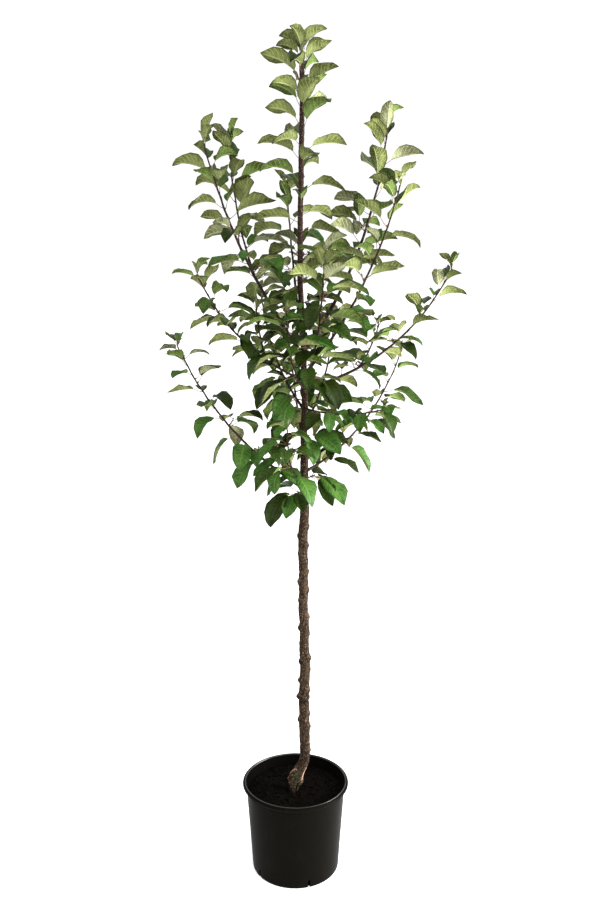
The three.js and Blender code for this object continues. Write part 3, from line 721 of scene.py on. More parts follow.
def pot_plastic(name, roughness, specular, look, colour):
    """Black moulded plastic with faint scuffs that run down the wall."""
    finish = Finish(name, roughness, specular)
    cloud = finish.grain(60, 4)
    streak = finish.grain(7, 4, 0.08)
    speck = finish.grain(1.6, 2)
    worn = (cloud * 0.6 + streak * 0.4).between(0.5, 0.72)
    return finish.paint(finish.mixed(worn * 0.4, colour, look.worn),
                        (cloud - 0.5) * 0.15 + roughness, speck * 0.5 + streak * 0.5, 0.1)


def potting_soil(name, low, high, look):
    """Crumbly soil, whose crumbs are dry where their noise goes from low to high."""
    finish = Finish(name, 0.95, 0.03)
    crumb, fine = finish.grain(7, 5, roughness=0.7), finish.grain(1.1, 2)
    dry = (crumb * 0.6 + fine * 0.4).between(low, high)
    return finish.paint(finish.mixed(dry, look.dark, look.light), None, crumb * 0.4 + fine, 1.2)


def trunk_bark(look):
    """Brown flaking bark at the foot that gives way to smooth purple-brown up the leader."""
    finish = Finish("trunk_bark", 0.85, 0.08)
    height = finish.height()
    flakes = finish.grain(3, 5, 0.75, 0.72)
    threads = finish.grain(1.8, 3, 0.2, 0.6)
    cloud = finish.grain(26, 3, 0.6)
    lengthwise = finish.grain(2.6, 3, 0.06)
    pore = finish.spots(4.5, 1.5).between(0.3, 0.12)
    dash = finish.spots(11, 2).between(0.24, 0.1)
    # Pale above each knot and dark below it: a painted highlight and painted shade.
    brow = finish.mark("brow")

    pale = (flakes * 0.6 + cloud * 0.2 + threads * 0.2 + brow * 0.3 - 0.15).between(0.51, 0.57)
    dark = (flakes * 0.45 + threads * 0.55 + brow * 0.4 - 0.2).between(0.5, 0.43)
    old = finish.mixed(pale * 0.75, look.old, look.pale)
    old = finish.mixed(dark * 0.85, old, look.crack)
    old = finish.mixed(pore.math("MAXIMUM", dash) * 0.6, old, look.fleck)
    # Darker along the crack mark: partly the bark's own colour in its furrows, partly painted
    # shade in them and in the growth ring's groove, and a painted shadow in the foot's first
    # cleft.
    old = finish.mixed(finish.mark("crack").between(0.25, 0.9) * 0.85, old, look.crack)

    smooth = finish.mixed(lengthwise.between(0.42, 0.6) * 0.75, look.young, look.leader)
    smooth = finish.mixed(pore * 0.85, smooth, look.fleck)
    upward = (height + (cloud - 0.5) * 0.25).between(*SMOOTH_BARK)
    colour = finish.mixed(upward, old, smooth)

    scar = finish.mark("scar") * flakes.between(0.3, 0.5)
    colour = finish.mixed(scar.between(0.25, 0.75) * 0.9, colour, look.scar)
    moss = finish.mark("moss") * threads.between(0.35, 0.5)
    colour = finish.mixed(moss * 0.9, colour, look.moss)
    # Darker towards the soil.
    near_soil = (height + (flakes - 0.5) * 0.03).between(*NEAR_SOIL_BARK)
    colour = finish.mixed(near_soil * 0.6, colour, look.crack)
    return finish.paint(colour, 0.9 - upward * 0.3, flakes * 0.8 + threads * 0.5, 1.1)


def bough_bark(look):
    """Smooth dark bark with a thin grey film and pale pores."""
    finish = Finish("bough_bark", 0.6, 0.14)
    film = finish.grain(22, 4)
    fine = finish.grain(1.5)
    pore = finish.spots(3.4).between(0.2, 0.1)
    colour = finish.mixed(film.between(0.42, 0.68) * 0.5, look.young, look.leader)
    colour = finish.mixed(pore * 0.55, colour, look.pale)
    return finish.paint(colour, 0.48 + film * 0.22, fine * 0.5 + pore * 0.6, 0.35)


def plain_skin(name, colour, roughness, specular):
    """A smooth skin with slight mottling, for stalks, ribs and buds."""
    finish = Finish(name, roughness, specular)
    mottle = finish.grain(3.5)
    colour = finish.mixed(mottle.between(0.38, 0.66), scaled(colour, MOTTLED), colour)
    return finish.paint(colour, None, mottle, 0.15)


def leaf_skin(name, colour, side):
    """One side of a blade, with its midrib, slanting side veins and a darker edge, partly painted
    shade.
    """
    finish = Finish(name, side.roughness, side.specular)
    spread = {"Vector": finish.node("UVMap", {"uv_map": BLADE_MAP}, {})}
    across = finish.node("SeparateXYZ", {}, spread, "X")
    along = finish.node("SeparateXYZ", {}, spread, "Y")
    out = abs(across - 0.5) * 2
    phase = (along - out * VEINS.slant) * VEINS.count
    vein = abs(phase.math("FRACT") - 0.5).between(0.36, 0.5)
    rib = out.between(0.12, 0.03)
    lines = (vein * out.between(1.0, 0.7)).math("MAXIMUM", rib)
    cloud, mottle, puckers = finish.grain(22), finish.grain(6, 4), finish.grain(2.4, 2)

    dark = scaled(colour, side.dark)
    blotch = (cloud * 0.6 + mottle * 0.4).between(0.56, 0.42)
    body = finish.mixed(blotch * 0.75, colour, dark)
    sheen = (along + out * 0.5 + mottle - 0.5).between(0.75, 0.15)
    body = finish.mixed(sheen * side.sheen, body, scaled(colour, side.gleam))
    body = finish.mixed(puckers.between(0.5, 0.66) * 0.35, body, dark)
    body = finish.mixed(lines * side.lines, body, scaled(colour, side.line))
    # Darker towards the rim and the tip: partly the blade's own darker margin and tip, partly
    # painted shade where the margin curls.
    edge = out.math("MAXIMUM", along) + (cloud - 0.5) * 0.7 + (mottle - 0.5) * 0.3
    body = finish.mixed(edge.between(0.76, 1.02) * 0.85, body,
                        scaled(colour, [0.7 * c for c in side.dark]))
    return finish.paint(body, None, lines * side.relief + puckers * 0.6, 0.6)


def plain_floor(look):
    """A pale floor that shines a little by itself."""
    finish = Finish("floor", 0.9, 0.1, emission_strength=look.glow, emission_color=look.floor)
    return finish.paint(finish.mixed(finish.grain(900, 2), scaled(look.floor, FLOOR_SHADE),
                                     look.floor))


# ---------------------------------------------------------------- meshes

SEAM = 1e-4  # points of a seam are closer than this
NEARLY_UP = (0.31, 0.17, 0.93)  # a way that no tube runs


def in_place(name, mesh, materials, slot, *nodes):
    """A finished piece: it rides on the part and stands for the nodes named."""
    for material in materials:
        mesh.materials.append(material)
    piece = bpy.data.objects.new(name, mesh)
    bpy.context.scene.collection.objects.link(piece)
    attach(piece, "root")
    if nodes:
        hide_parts(*nodes)
    return piece


def nodes_of(start):
    """The part's nodes whose names start so."""
    return [name for name in sorted(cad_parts) if name.startswith(start)]


def from_bmesh(name, bm, smooth=True):
    """A mesh in metres from a bmesh in millimetres."""
    mesh = bpy.data.meshes.new(name)
    bmesh.ops.scale(bm, vec=(MM, MM, MM), verts=bm.verts)
    bm.to_mesh(mesh)
    bm.free()
    if smooth:
        mesh.shade_smooth()
    return mesh


def closed(bm, fill=False):
    """A bmesh with its seams and, where wanted, its ends closed and its faces outwards."""
    bmesh.ops.remove_doubles(bm, verts=bm.verts, dist=SEAM)
    if fill:
        bmesh.ops.holes_fill(bm, edges=[e for e in bm.edges if e.is_boundary], sides=0)
    bmesh.ops.recalc_face_normals(bm, faces=bm.faces)
    return bm


def spun(section, sides):
    """A closed ring or solid turned from its section, given as radius and height."""
    bm = bmesh.new()
    corners = [bm.verts.new((radius, 0, z)) for radius, z in section]
    edges = [bm.edges.new(pair) for pair in zip(corners, corners[1:])]
    bmesh.ops.spin(bm, geom=corners + edges, axis=(0, 0, 1), cent=(0, 0, 0),
                   angle=math.radians(360), steps=sides, use_merge=True)
    return closed(bm)


def sheathed(line, sides, radius_at):
    """A tube round a line of points: a grid wrapped round it, closed along its seam and ends.
    radius_at gives the radius for a ring's number and a unit vector out from the line."""
    bm = bmesh.new()
    bmesh.ops.create_grid(bm, x_segments=sides, y_segments=len(line) - 1, size=0.5)
    side = Vector((1, 0, 0))
    rings = []
    for k, point in enumerate(line):
        axis = Vector(line[min(k + 1, len(line) - 1)] - line[max(k - 1, 0)]).normalized()
        side = (side - axis * side.dot(axis)).normalized()
        rings.append((Vector(point), side.copy(), axis.cross(side)))
    for vert in bm.verts:
        ring = round((vert.co.y + 0.5) * (len(line) - 1))
        turn = round((vert.co.x + 0.5) * sides) % sides * 2 * math.pi / sides
        centre, side, across = rings[ring]
        out = side * math.cos(turn) + across * math.sin(turn)
        vert.co = centre + out * radius_at(ring, out, centre)
    return closed(bm, fill=True)


def smooth_line(path, step):
    """A path's points taken again at short steps along a smooth curve through them."""
    ends = np.vstack((2 * path[0] - path[1], path, 2 * path[-1] - path[-2]))
    length = np.linalg.norm(np.diff(path, axis=0), axis=1).sum()
    count = max(int(length / step), 4)
    x = np.linspace(0, len(path) - 1, count + 1)
    i = np.minimum(x.astype(int), len(path) - 2)
    t = (x - i)[:, None]
    a, b, c, d = ends[i], ends[i + 1], ends[i + 2], ends[i + 3]
    return 0.5 * (2 * b + (c - a) * t + (2 * a - 5 * b + 4 * c - d) * t * t
                  + (3 * b - a - 3 * c + d) * t * t * t)


def heaped(name, shapes, faces, finishes=None, flat=None):
    """One mesh of many like shapes: their points (items, corners, 3), the faces of one item,
    and where wanted the finish of each item's faces and each corner's place on the flat map."""
    items, corners, _ = shapes.shape
    mesh = bpy.data.meshes.new(name)
    mesh.from_pydata(shapes.reshape(-1, 3) * MM, [],
                     [tuple(k * corners + c for c in face) for k in range(items)
                      for face in faces])
    if finishes is not None:
        mesh.polygons.foreach_set("material_index", np.ravel(finishes).astype(np.int32))
    if flat is not None:
        order = [c for face in faces for c in face]
        spread = np.tile(flat[order], (items, 1)).astype(np.float32)
        mesh.uv_layers.new(name=BLADE_MAP).uv.foreach_set("vector", spread.ravel())
    mesh.shade_smooth()
    mesh.update()
    return mesh


def tube_faces(rings, sides):
    """The faces of a tube whose two ends are closed by one face each."""
    faces = []
    for ring in range(rings - 1):
        for k in range(sides):
            a, b = ring * sides + k, ring * sides + (k + 1) % sides
            faces.append((a, b, b + sides, a + sides))
    last = (rings - 1) * sides
    faces.append(tuple(range(sides - 1, -1, -1)))
    faces.append(tuple(range(last, last + sides)))
    return faces


def tubes(lines, radii, sides):
    """Tubes round many lines at once: lines (items, rings, 3) and radii (items, rings)."""
    axes = unit(np.gradient(lines, axis=1))
    aside = unit(np.cross(axes, NEARLY_UP))
    across = np.cross(axes, aside)
    turn = (np.arange(sides) * 2 * math.pi / sides)[:, None]
    out = aside[:, :, None] * np.cos(turn) + across[:, :, None] * np.sin(turn)
    points = lines[:, :, None] + out * radii[:, :, None, None]
    return points.reshape(len(lines), -1, 3)


def tube_mesh(name, lines, radii, sides, finishes=None):
    """One mesh of tubes round many lines."""
    return heaped(name, tubes(lines, radii, sides), tube_faces(lines.shape[1], sides), finishes)


# ---------------------------------------------------------------- pot and soil

BEAD_IN, HIGHLIGHT_DOWN = 5.3, 1.8  # the rim's lighter band, a painted highlight, inwards from the lip and down from the top
BEAD_SUNK = 0.5  # the bead stands up from here, below the top
INNER_SHADE_FROM = 0.1  # the inside's darker colour, painted shade, starts this far over the floor
SHARP = 38  # an edge is sharp past this angle
POT_INNER_SHADE = (0.6, 0.6, 0.7)  # how much darker the plastic is painted inside, as painted shade
SOIL_MESH = Sizes(rings=44, sides=120, depth=20, tuck=0.5)
# Lumps as size and height; they die away over a margin at the wall.
SOIL_LUMPS = ((17, 2.2), (6, 1.4), (2.6, 0.8))
SOIL_MARGIN = 5
CRUMB = Sizes(
    margin=4, seed=301, small=0.35, rough=0.28, turn=6.3, thin=0.8, uneven=0.2, low=0.62,
    lift=0.25, dry=0.1)


def inner_radius(z):
    """The pot's radius inside its wall."""
    share = (z - POT.floor) / (POT.shoulder_height - POT.floor)
    return blend(POT.foot_radius, POT.shoulder_radius, share) - POT.wall


def drain_cutter():
    """Boxes where the drain slots go through the foot of the wall."""
    bm = bmesh.new()
    for k in range(DRAIN.count):
        heading = math.radians(DRAIN.first_heading + 360 / DRAIN.count * k)
        place = (Matrix.Rotation(heading, 4, "Z") @ Matrix.Translation((POT.foot_radius, 0, 0))
                 @ Matrix.Diagonal((DRAIN.depth, DRAIN.width, DRAIN.height * 2, 1)))
        bmesh.ops.create_cube(bm, size=1, matrix=place)
    cutter = bpy.data.objects.new("drain_cutter", from_bmesh("drain_cutter", bm, False))
    bpy.context.scene.collection.objects.link(cutter)
    return cutter


def cut_drains(context, pot):
    """Cuts the drain slots out of the pot's mesh for good."""
    cutter = drain_cutter()
    cut = pot.modifiers.new("drain_slots", "BOOLEAN")
    cut.object, cut.solver = cutter, "EXACT"
    depsgraph = context.evaluated_depsgraph_get()
    mesh = bpy.data.meshes.new_from_object(pot.evaluated_get(depsgraph))
    pot.modifiers.clear()
    pot.data = mesh
    mesh.set_sharp_from_angle(angle=math.radians(SHARP))
    bpy.data.objects.remove(cutter)


def pot_section(bead_height):
    """The pot's section as radius and height: up the outside, over the rim and down inside."""
    top, lip, step = POT.height, POT.lip_radius, POT.shoulder_height
    foot, shoulder, floor = POT.foot_radius, POT.shoulder_radius, POT.floor
    under, bead = top - POT.lip_height, top - BEAD_SUNK + bead_height
    outside = [
        (0, 1.2), (foot - 24, 1.2), (foot - 22, 0), (foot - 2.6, 0), (foot - 0.8, 0.8),
        (foot, 2.6), (foot + 0.5, 10), (foot + 5, 82), (foot + 10, 155),
        (shoulder - 0.5, step - 7.5), (shoulder + 0.1, step - 7), (shoulder + 0.3, step - 5.6),
        (shoulder - 0.1, step - 5), (shoulder, step - 1), (shoulder + 1, step + 0.4),
        (shoulder + 1.1, under - 1), (shoulder + 2, under - 0.2)]
    rim = [
        (lip - 1, under), (lip - 0.2, under + 0.6), (lip, under + 1.8), (lip - 0.5, top - 3.6),
        (lip - 1.5, top - 2.2), (lip - 3, top - 1.3), (lip - BEAD_IN, top - 0.9),
        (lip - 5.8, bead), (lip - 7.2, bead), (lip - 8.4, top - 0.9), (lip - 9.2, top - 2.4),
        (lip - 9.6, top - 6)]
    inside = [
        (inner_radius(step) + 1, step + 2), (inner_radius(step), step),
        (inner_radius(step / 2), step / 2), (inner_radius(floor) + 0.2, 8),
        (inner_radius(floor) - 4, floor), (0, floor)]
    return outside + rim + inside


class APPLETREE_OT_pot(bpy.types.Operator):
    """Turns the nursery pot with its rolled rim, its step and its drain slots"""

    bl_idname = "apple_tree.mould_pot"
    bl_label = "Mould the pot"

    def execute(self, context):
        look = context.scene.apple_pot
        bm = spun(pot_section(look.bead / MM), look.sides)
        for face in bm.faces:
            x, y, z = face.calc_center_median()
            # The rim's inner top gets the lighter colour, a painted highlight.
            if z > POT.height - HIGHLIGHT_DOWN and math.hypot(x, y) < POT.lip_radius - BEAD_IN:
                face.material_index = 1
            # The inside of the wall gets the darker colour, painted shade.
            elif z > POT.floor + INNER_SHADE_FROM and face.normal.x * x + face.normal.y * y < 0:
                face.material_index = 2
        skins = [pot_plastic("pot_plastic", 0.42, 0.017, look, look.plastic),
                 pot_plastic("pot_rim_edge", 0.28, 0.3, look, look.edge),
                 pot_plastic("pot_inside", 0.8, 0.015, look, scaled(look.plastic, POT_INNER_SHADE))]
        pot = in_place("nursery_pot", from_bmesh("nursery_pot", bm), skins, "pot", "pot")
        cut_drains(context, pot)
        return {"FINISHED"}


def lumps(spot, layers):
    """Uneven heights at a place, from layers of noise given as size and height."""
    return sum(noise.noise(spot / size) * height for size, height in layers)


def scattered_crumbs(count, size):
    """Little uneven lumps lying on the soil, smaller ones more often."""
    bm = bmesh.new()
    bmesh.ops.create_icosphere(bm, subdivisions=1, radius=1)
    ball = np.array([v.co for v in bm.verts])
    faces = [tuple(v.index for v in f.verts) for f in bm.faces]
    bm.free()
    reach = inner_radius(SOIL.top) - CRUMB.margin
    seed = CRUMB.seed
    crumbs, dry = [], []
    for k in range(count):
        far = reach * math.sqrt(lot(seed, k))
        scale = size / 2 * (CRUMB.small + lot(seed + 2, k) ** 3)
        rough = np.array([1 + CRUMB.rough * jitter(seed + 3 + k, n) for n in range(len(ball))])
        turn = np.array(Matrix.Rotation(CRUMB.turn * jitter(seed + 4, k), 3, "X")
                        @ Matrix.Rotation(CRUMB.turn * jitter(seed + 5, k), 3, "Z"))
        squash = (1, CRUMB.thin + CRUMB.uneven * jitter(seed + 6, k), CRUMB.low)
        centre = direction(360 * jitter(seed + 1, k), 0) * far
        centre[2] = soil_height(centre) + scale * CRUMB.lift
        crumbs.append((ball * rough[:, None] * squash * scale) @ turn.T + centre)
        dry.append([int(jitter(seed + 7, k) > CRUMB.dry)] * len(faces))
    return np.array(crumbs), faces, dry


def soil_height(point):
    """The height of the soil, falling to its edge and rough all over."""
    far = math.hypot(point[0], point[1])
    edge = inner_radius(SOIL.top)
    fall = ease(SOIL.flat_radius, edge, far) * SOIL.edge_drop
    rough = lumps(Vector(point), SOIL_LUMPS) * (1 - ease(edge - SOIL_MARGIN, edge, far))
    return SOIL.top - fall + rough


class APPLETREE_OT_soil(bpy.types.Operator):
    """Fills the pot with soil and strews loose crumbs over it"""

    bl_idname = "apple_tree.fill_soil"
    bl_label = "Fill in the soil"

    def execute(self, context):
        look = context.scene.apple_soil
        top, rings = SOIL.top, SOIL_MESH.rings
        edge = inner_radius(top) - SOIL.seat
        section = [(edge * k / rings, top) for k in range(rings + 1)]
        section += [(edge - SOIL_MESH.tuck, top - SOIL_MESH.depth), (0, top - SOIL_MESH.depth)]
        bm = spun(section, SOIL_MESH.sides)
        for vert in bm.verts:
            if vert.co.z > top - SOIL_MESH.depth / 2:
                vert.co.z = soil_height((vert.co.x, vert.co.y, 0))
        dark = potting_soil("wet_soil", 0.42, 0.7, look)
        dry = potting_soil("dry_soil", 0.3, 0.62, look)
        in_place("soil_surface", from_bmesh("soil_surface", bm), [dark], "soil", "soil")
        crumbs = heaped("soil_crumbs", *scattered_crumbs(look.crumbs, look.crumb * 2 / MM))
        crumbs.shade_flat()
        in_place("soil_crumbs", crumbs, [dark, dry], "soil", "soil")
        return {"FINISHED"}


# ---------------------------------------------------------------- trunk and boughs

# The knots left by shed side shoots, as height, heading and how far each stands out.
KNOTS = [(942, 350, 1.6), (920, 186, 3.2), (895, 352, 3.2), (873, 200, 2.2), (826, 345, 3.6),
         (797, 188, 3.8), (776, 352, 2.4), (748, 205, 2.6), (704, 348, 3.4), (675, 186, 4.4),
         (659, 355, 2.4), (592, 350, 4.6), (583, 190, 4.4), (559, 352, 2), (528, 184, 3),
         (502, 350, 3.4), (485, 196, 4.6), (437, 350, 1.8), (420, 186, 4), (400, 352, 4),
         (330, 350, 3), (281, 190, 3.2)]
# The knot's last three sizes: how far above and below it its painted highlight and painted shade
# lie, how far they spread, and the swell against which their strength is measured.
KNOT = Sizes(reach=7, spread=34, square=2.8, felt=25, brow=6.5, brow_reach=2.2, brow_height=6)
# Softer knots at regular heights up the back of the bare trunk.
KNUCKLE = Sizes(
    first=345, last=1000, pitch=46, shift=12, heading=90, turn=70, swell=2.6, reach=5.5, spread=30,
    seed=120)
# How the bare trunk leans aside between its ends, and the heights over which its bark is thicker
# than the part's.
SWAY = [(250, 0), (300, 2.5), (345, 3.4), (440, 0.6), (520, 0.8), (558, 3), (590, 2.8), (640, 1),
        (748, -2.6), (880, -1.8), (980, 0)]
GIRTH = Sizes(foot=300, grown=345, full=420, none=1050, extra=1.3)
# Marks on the bark, as height, heading, half height and half width in degrees, and strength.
SCARS = [(269, 336, 15, 15, 1.9), (421, 292, 4, 10, 0.7), (357, 340, 6, 12, 0.8),
         (610, 262, 4, 8, 0.6), (560, 285, 3, 8, 0.5), (820, 300, 4, 9, 0.5)]
SCAR_DEPTH = 0.8
MOSSES = [(268, 262, 10, 26, 1), (244, 308, 8, 26, 0.6)]
# The pale lip round the graft's scar, which is faint beyond some headings.
SCAR_RING = Sizes(
    height=266, heading=226, tall=16, wide=40, thick=0.12, uneven=0.3, grain_up=9,
    grain_round=26, faint=0.3, faint_from=210, faint_to=258, swell=1.4)
# Where one year's growth ends: a groove with a bulge over it, darker in the groove, partly painted
# shade.
GROWTH_RING = Sizes(
    height=473, reach=2.6, depth=1.3, bulge=483, bulge_reach=7, swell=2.4, dark=1.2)
# Where the foot was cut away below a height, and how far up each cut fades. The first cut's cleft
# is also darkened as a painted shadow.
CUTS = [Sizes(heading=296, top=256, depth=6, spread=10),
        Sizes(heading=352, top=244, depth=8, spread=52),
        Sizes(heading=190, top=250, depth=3.5, spread=50)]
CUT_FADE = 12
ROUGH_FOOT = 270  # the bark is lumpier below this
FOOT_LUMPS = ((7, 1.5),)
TRUNK_LINE = Sizes(sunk=8, step=2.0, sides=52, wobble=1.6, wave=62, freer_from=500, freer_to=700)
# crack_dark: how dark the cracks are painted, partly their own colour and partly painted shade.
BARK = Sizes(
    old=1100, young=1500, lumps=((24, 1.2), (9, 0.7)), young_lumps=0.35, crack=4.6, crack_long=0.3,
    crack_narrow=6, young_cracks=0.25, crack_dark=0.8, leaf_swell=0.5, leaf_reach=2.4)


def hump(value, centre, spread):
    """1 at the centre, falling away softly on both sides."""
    return math.exp(-(((value - centre) / spread) ** 2))


def turn_apart(a, b):
    """The angle between two headings."""
    return abs((a - b + 180) % 360 - 180)


def facing(heading, place, spread):
    """How strongly something at one heading is felt at another."""
    return hump(turn_apart(heading, place), 0, spread)


def extra_girth(z):
    """How much thicker the bark is at a height."""
    return GIRTH.extra * ((1 - portion(GIRTH.full, GIRTH.none, z))
                          * portion(GIRTH.foot, GIRTH.grown, z))


def trunk_knots():
    """Every knot on the bare trunk, as height, heading, swell, reach and spread."""
    knots = [(*knot, KNOT.reach, KNOT.spread) for knot in KNOTS]
    for k, z in enumerate(np.arange(KNUCKLE.first, KNUCKLE.last, KNUCKLE.pitch)):
        knots.append((z + KNUCKLE.shift * jitter(KNUCKLE.seed, k),
                      KNUCKLE.heading + KNUCKLE.turn * jitter(KNUCKLE.seed + 1, k),
                      KNUCKLE.swell * (1 + jitter(KNUCKLE.seed + 2, k) / 2),
                      KNUCKLE.reach, KNUCKLE.spread))
    return knots


def knot_at(knots, z, heading, rise=0, reach=None):
    """How far the knots stand out of the bark at a place, or would a rise higher up."""
    return sum(swell * math.exp(-(abs(z - rise - height) / (reach or tall)) ** KNOT.square)
               * facing(heading, place, wide)
               for height, place, swell, tall, wide in knots if abs(z - height) < KNOT.felt)


def ring_at(z, heading):
    """How strongly the pale lip round the graft's scar is felt."""
    far = math.hypot((z - SCAR_RING.height) / SCAR_RING.tall,
                     turn_apart(heading, SCAR_RING.heading) / SCAR_RING.wide)
    grain = noise.noise((z / SCAR_RING.grain_up, heading / SCAR_RING.grain_round, 3))
    far += SCAR_RING.uneven * grain
    clear = 1 - portion(SCAR_RING.faint_from, SCAR_RING.faint_to, heading % 360)
    return blend(SCAR_RING.faint, 1, clear) * hump(far, 1, SCAR_RING.thick)


def mark_at(marks, z, heading):
    """How strongly the marks are felt at a place, from 0 to 1."""
    return min(1, sum(strength * hump(z, centre, tall) * facing(heading, place, wide)
                      for centre, place, tall, wide, strength in marks))


def cleft(cut, z, heading, depth=1):
    """How deep a cut at the trunk's foot is at a place."""
    low = 1 - ease(cut.top - CUT_FADE, cut.top, z)
    return depth * low * facing(heading, cut.heading, cut.spread)


def furrow(spot):
    """How deep in one of the bark's long cracks a place is, from 0 to 1."""
    drawn = Vector((spot.x, spot.y, spot.z * BARK.crack_long))
    return 1 - min(1, abs(noise.noise(drawn / BARK.crack)) * BARK.crack_narrow)


def oldness(z):
    """1 where the bark is old and cracked, 0 where it is young."""
    return 1 - ease(BARK.old, BARK.young, z)


def leader_line():
    """The trunk's centre line, from in the soil to the leader's tip."""
    lean = direction(LEADER.heading, LEADER.rise)
    wave = TRUNK_LINE.wave
    line = []
    first, last = SOIL.top - TRUNK_LINE.sunk, TRUNK.top + LEADER.length + 1
    for z in np.arange(first, last, TRUNK_LINE.step):
        centre = trunk_centre(min(z, TRUNK.top))
        if z > TRUNK.top:
            centre = centre + lean * (z - TRUNK.top)
        freer = ease(TRUNK_LINE.freer_from, TRUNK_LINE.freer_to, z)
        wobble = np.array((noise.noise((0, 0.5, z / wave)), noise.noise((7, 0.5, z / wave)), 0))
        aside = np.array((float(np.interp(z, *zip(*SWAY))), 0, 0))
        line.append(centre + wobble * (TRUNK_LINE.wobble + freer) + aside)
    return np.array(line)


class APPLETREE_OT_trunk(bpy.types.Operator):
    """Grows the trunk and the leader in one, with cracked bark, knots and the graft"""

    bl_idname = "apple_tree.grow_trunk"
    bl_label = "Grow the trunk"

    def execute(self, context):
        look = context.scene.apple_bark
        depth = look.relief / MM
        knots = trunk_knots()
        heights = [leaf.root[2] for leaf in grow_tree()[1] if leaf.kind == "leader"]
        flare = TRUNK.flare

        def radius_at(ring, out, centre):
            z = centre.z
            heading = math.degrees(math.atan2(out.y, out.x))
            radius = trunk_radius(z)
            low = 1 - portion(SOIL.top, SOIL.top + flare.height, z)
            for leg in flare.headings:
                radius *= 1 + flare.swell * low * facing(heading, leg, flare.spread)
            radius += knot_at(knots, z, heading) + extra_girth(z)
            for height in heights:
                radius += BARK.leaf_swell * hump(z, height, BARK.leaf_reach)
            spot = centre + out * radius
            radius += (lumps(spot, BARK.lumps) * blend(BARK.young_lumps, 1, oldness(z))
                       - furrow(spot) * depth * blend(BARK.young_cracks, 1, oldness(z)))
            radius -= GROWTH_RING.depth * hump(z, GROWTH_RING.height, GROWTH_RING.reach)
            radius += GROWTH_RING.swell * hump(z, GROWTH_RING.bulge, GROWTH_RING.bulge_reach)
            for cut in CUTS:
                radius -= cleft(cut, z, heading, cut.depth)
            if z < ROUGH_FOOT:
                radius += lumps(spot, FOOT_LUMPS)
            return (radius - SCAR_DEPTH * mark_at(SCARS, z, heading)
                    + SCAR_RING.swell * ring_at(z, heading))

        mesh = from_bmesh("trunk_bark", sheathed(leader_line(), TRUNK_LINE.sides, radius_at))
        self.lay_marks(mesh, knots)
        in_place("trunk_with_bark", mesh, [trunk_bark(look)], "bark", "trunk")
        return {"FINISHED"}

    @staticmethod
    def lay_marks(mesh, knots):
        """Keeps on each point how far it is in a crack, a scar or the moss, and a knot's painted
        light and shade.
        """
        marks = {"crack": [], "scar": [], "moss": [], "brow": []}
        for vert in mesh.vertices:
            spot = vert.co / MM
            z = spot.z
            centre = trunk_centre(min(z, TRUNK.top))
            heading = math.degrees(math.atan2(spot.y - centre[1], spot.x - centre[0]))
            # Darker in the furrows and the growth ring's groove, partly their own colour, partly
            # painted shade; the first cut's cleft gets a painted shadow.
            ring = GROWTH_RING.dark * hump(z, GROWTH_RING.height, GROWTH_RING.reach)
            marks["crack"].append(min(1, furrow(spot) * oldness(z) * BARK.crack_dark
                                      + ring + cleft(CUTS[0], z, heading)))
            marks["scar"].append(min(1, mark_at(SCARS, z, heading) + ring_at(z, heading)))
            marks["moss"].append(mark_at(MOSSES, z, heading))
            # A painted highlight over each knot and painted shade under it.
            over, under = (knot_at(knots, z, heading, rise, KNOT.brow_reach)
                           for rise in (KNOT.brow, -KNOT.brow))
            marks["brow"].append(0.5 + (over - under) / KNOT.brow_height)
        for name, values in marks.items():
            mesh.attributes.new(name, "FLOAT", "POINT").data.foreach_set("value", values)


# A limb's skin: lumps as size and height, rings near its foot, and a swelling and a slight
# turn aside at each leaf.
LIMB = Sizes(
    step=2.6, sides=12, lumps=((8, 0.28), (3, 0.12)), ring=0.16, ring_rate=1.7, ring_fade=40,
    swell=0.45, swell_reach=3, swell_side=0.6, swell_top=0.4, zigzag=0.7, zigzag_reach=14,
    thinnest=0.5)
# The skin of the short twigs, and the buds: their section, their lengths and how they sit.
SHORT = Sizes(rings=7, sides=6, wrinkle=0.16, wrinkle_rate=2.2, tip=0.6)
BUD = Sizes(
    shares=(0, 0.25, 0.6, 1), widths=(0.75, 1, 0.72, 0.12), thick=0.24, sides=6, length=4.2,
    end_length=5.5, up=0.9, out=0.7, lift=1.4, sunk=0.6)


def bough_mesh(shoot, leaves):
    """A tapering limb with a collar, a slight zigzag and a swelling at each leaf."""
    line = smooth_line(shoot.path, LIMB.step)
    count = len(line) - 1
    spots = [np.linalg.norm(line - leaf.root, axis=1).argmin() for leaf in leaves]
    bark = trunk_radius(shoot.path[0][2]) * COLLAR.exit
    step = shoot.length / count

    def felt(spot, reach):
        """How strongly a spot on the line is felt at each of its points."""
        return np.exp(-(((np.arange(count + 1) - spot) * step / reach) ** 2))

    swell = sum((LIMB.swell * felt(spot, LIMB.swell_reach) for spot in spots),
                np.zeros(count + 1))

    def radius_at(ring, out, centre):
        along = ring / count
        radius = blend(shoot.butt, shoot.tip, along)
        reach = along * shoot.length
        if shoot.kind == "bough" and reach >= bark:
            radius *= 1 + COLLAR.swell * math.exp((bark - reach) / COLLAR.fade)
        rough = lumps(centre + out * radius, LIMB.lumps)
        rings = (LIMB.ring * math.sin(reach * LIMB.ring_rate)
                 * math.exp(-max(reach - bark, 0) / LIMB.ring_fade))
        bulge = swell[ring] * (LIMB.swell_side + LIMB.swell_top * out.z)
        return max(radius + rough + rings + bulge, LIMB.thinnest)

    zigzag = np.zeros_like(line)
    for k, spot in enumerate(sorted(spots)):
        away = direction(360 * jitter(shoot.seed, k), 0)
        zigzag += away * LIMB.zigzag * felt(spot, LIMB.zigzag_reach)[:, None]
    return from_bmesh(f"limb_{shoot.mass}", sheathed(line + zigzag, LIMB.sides, radius_at))


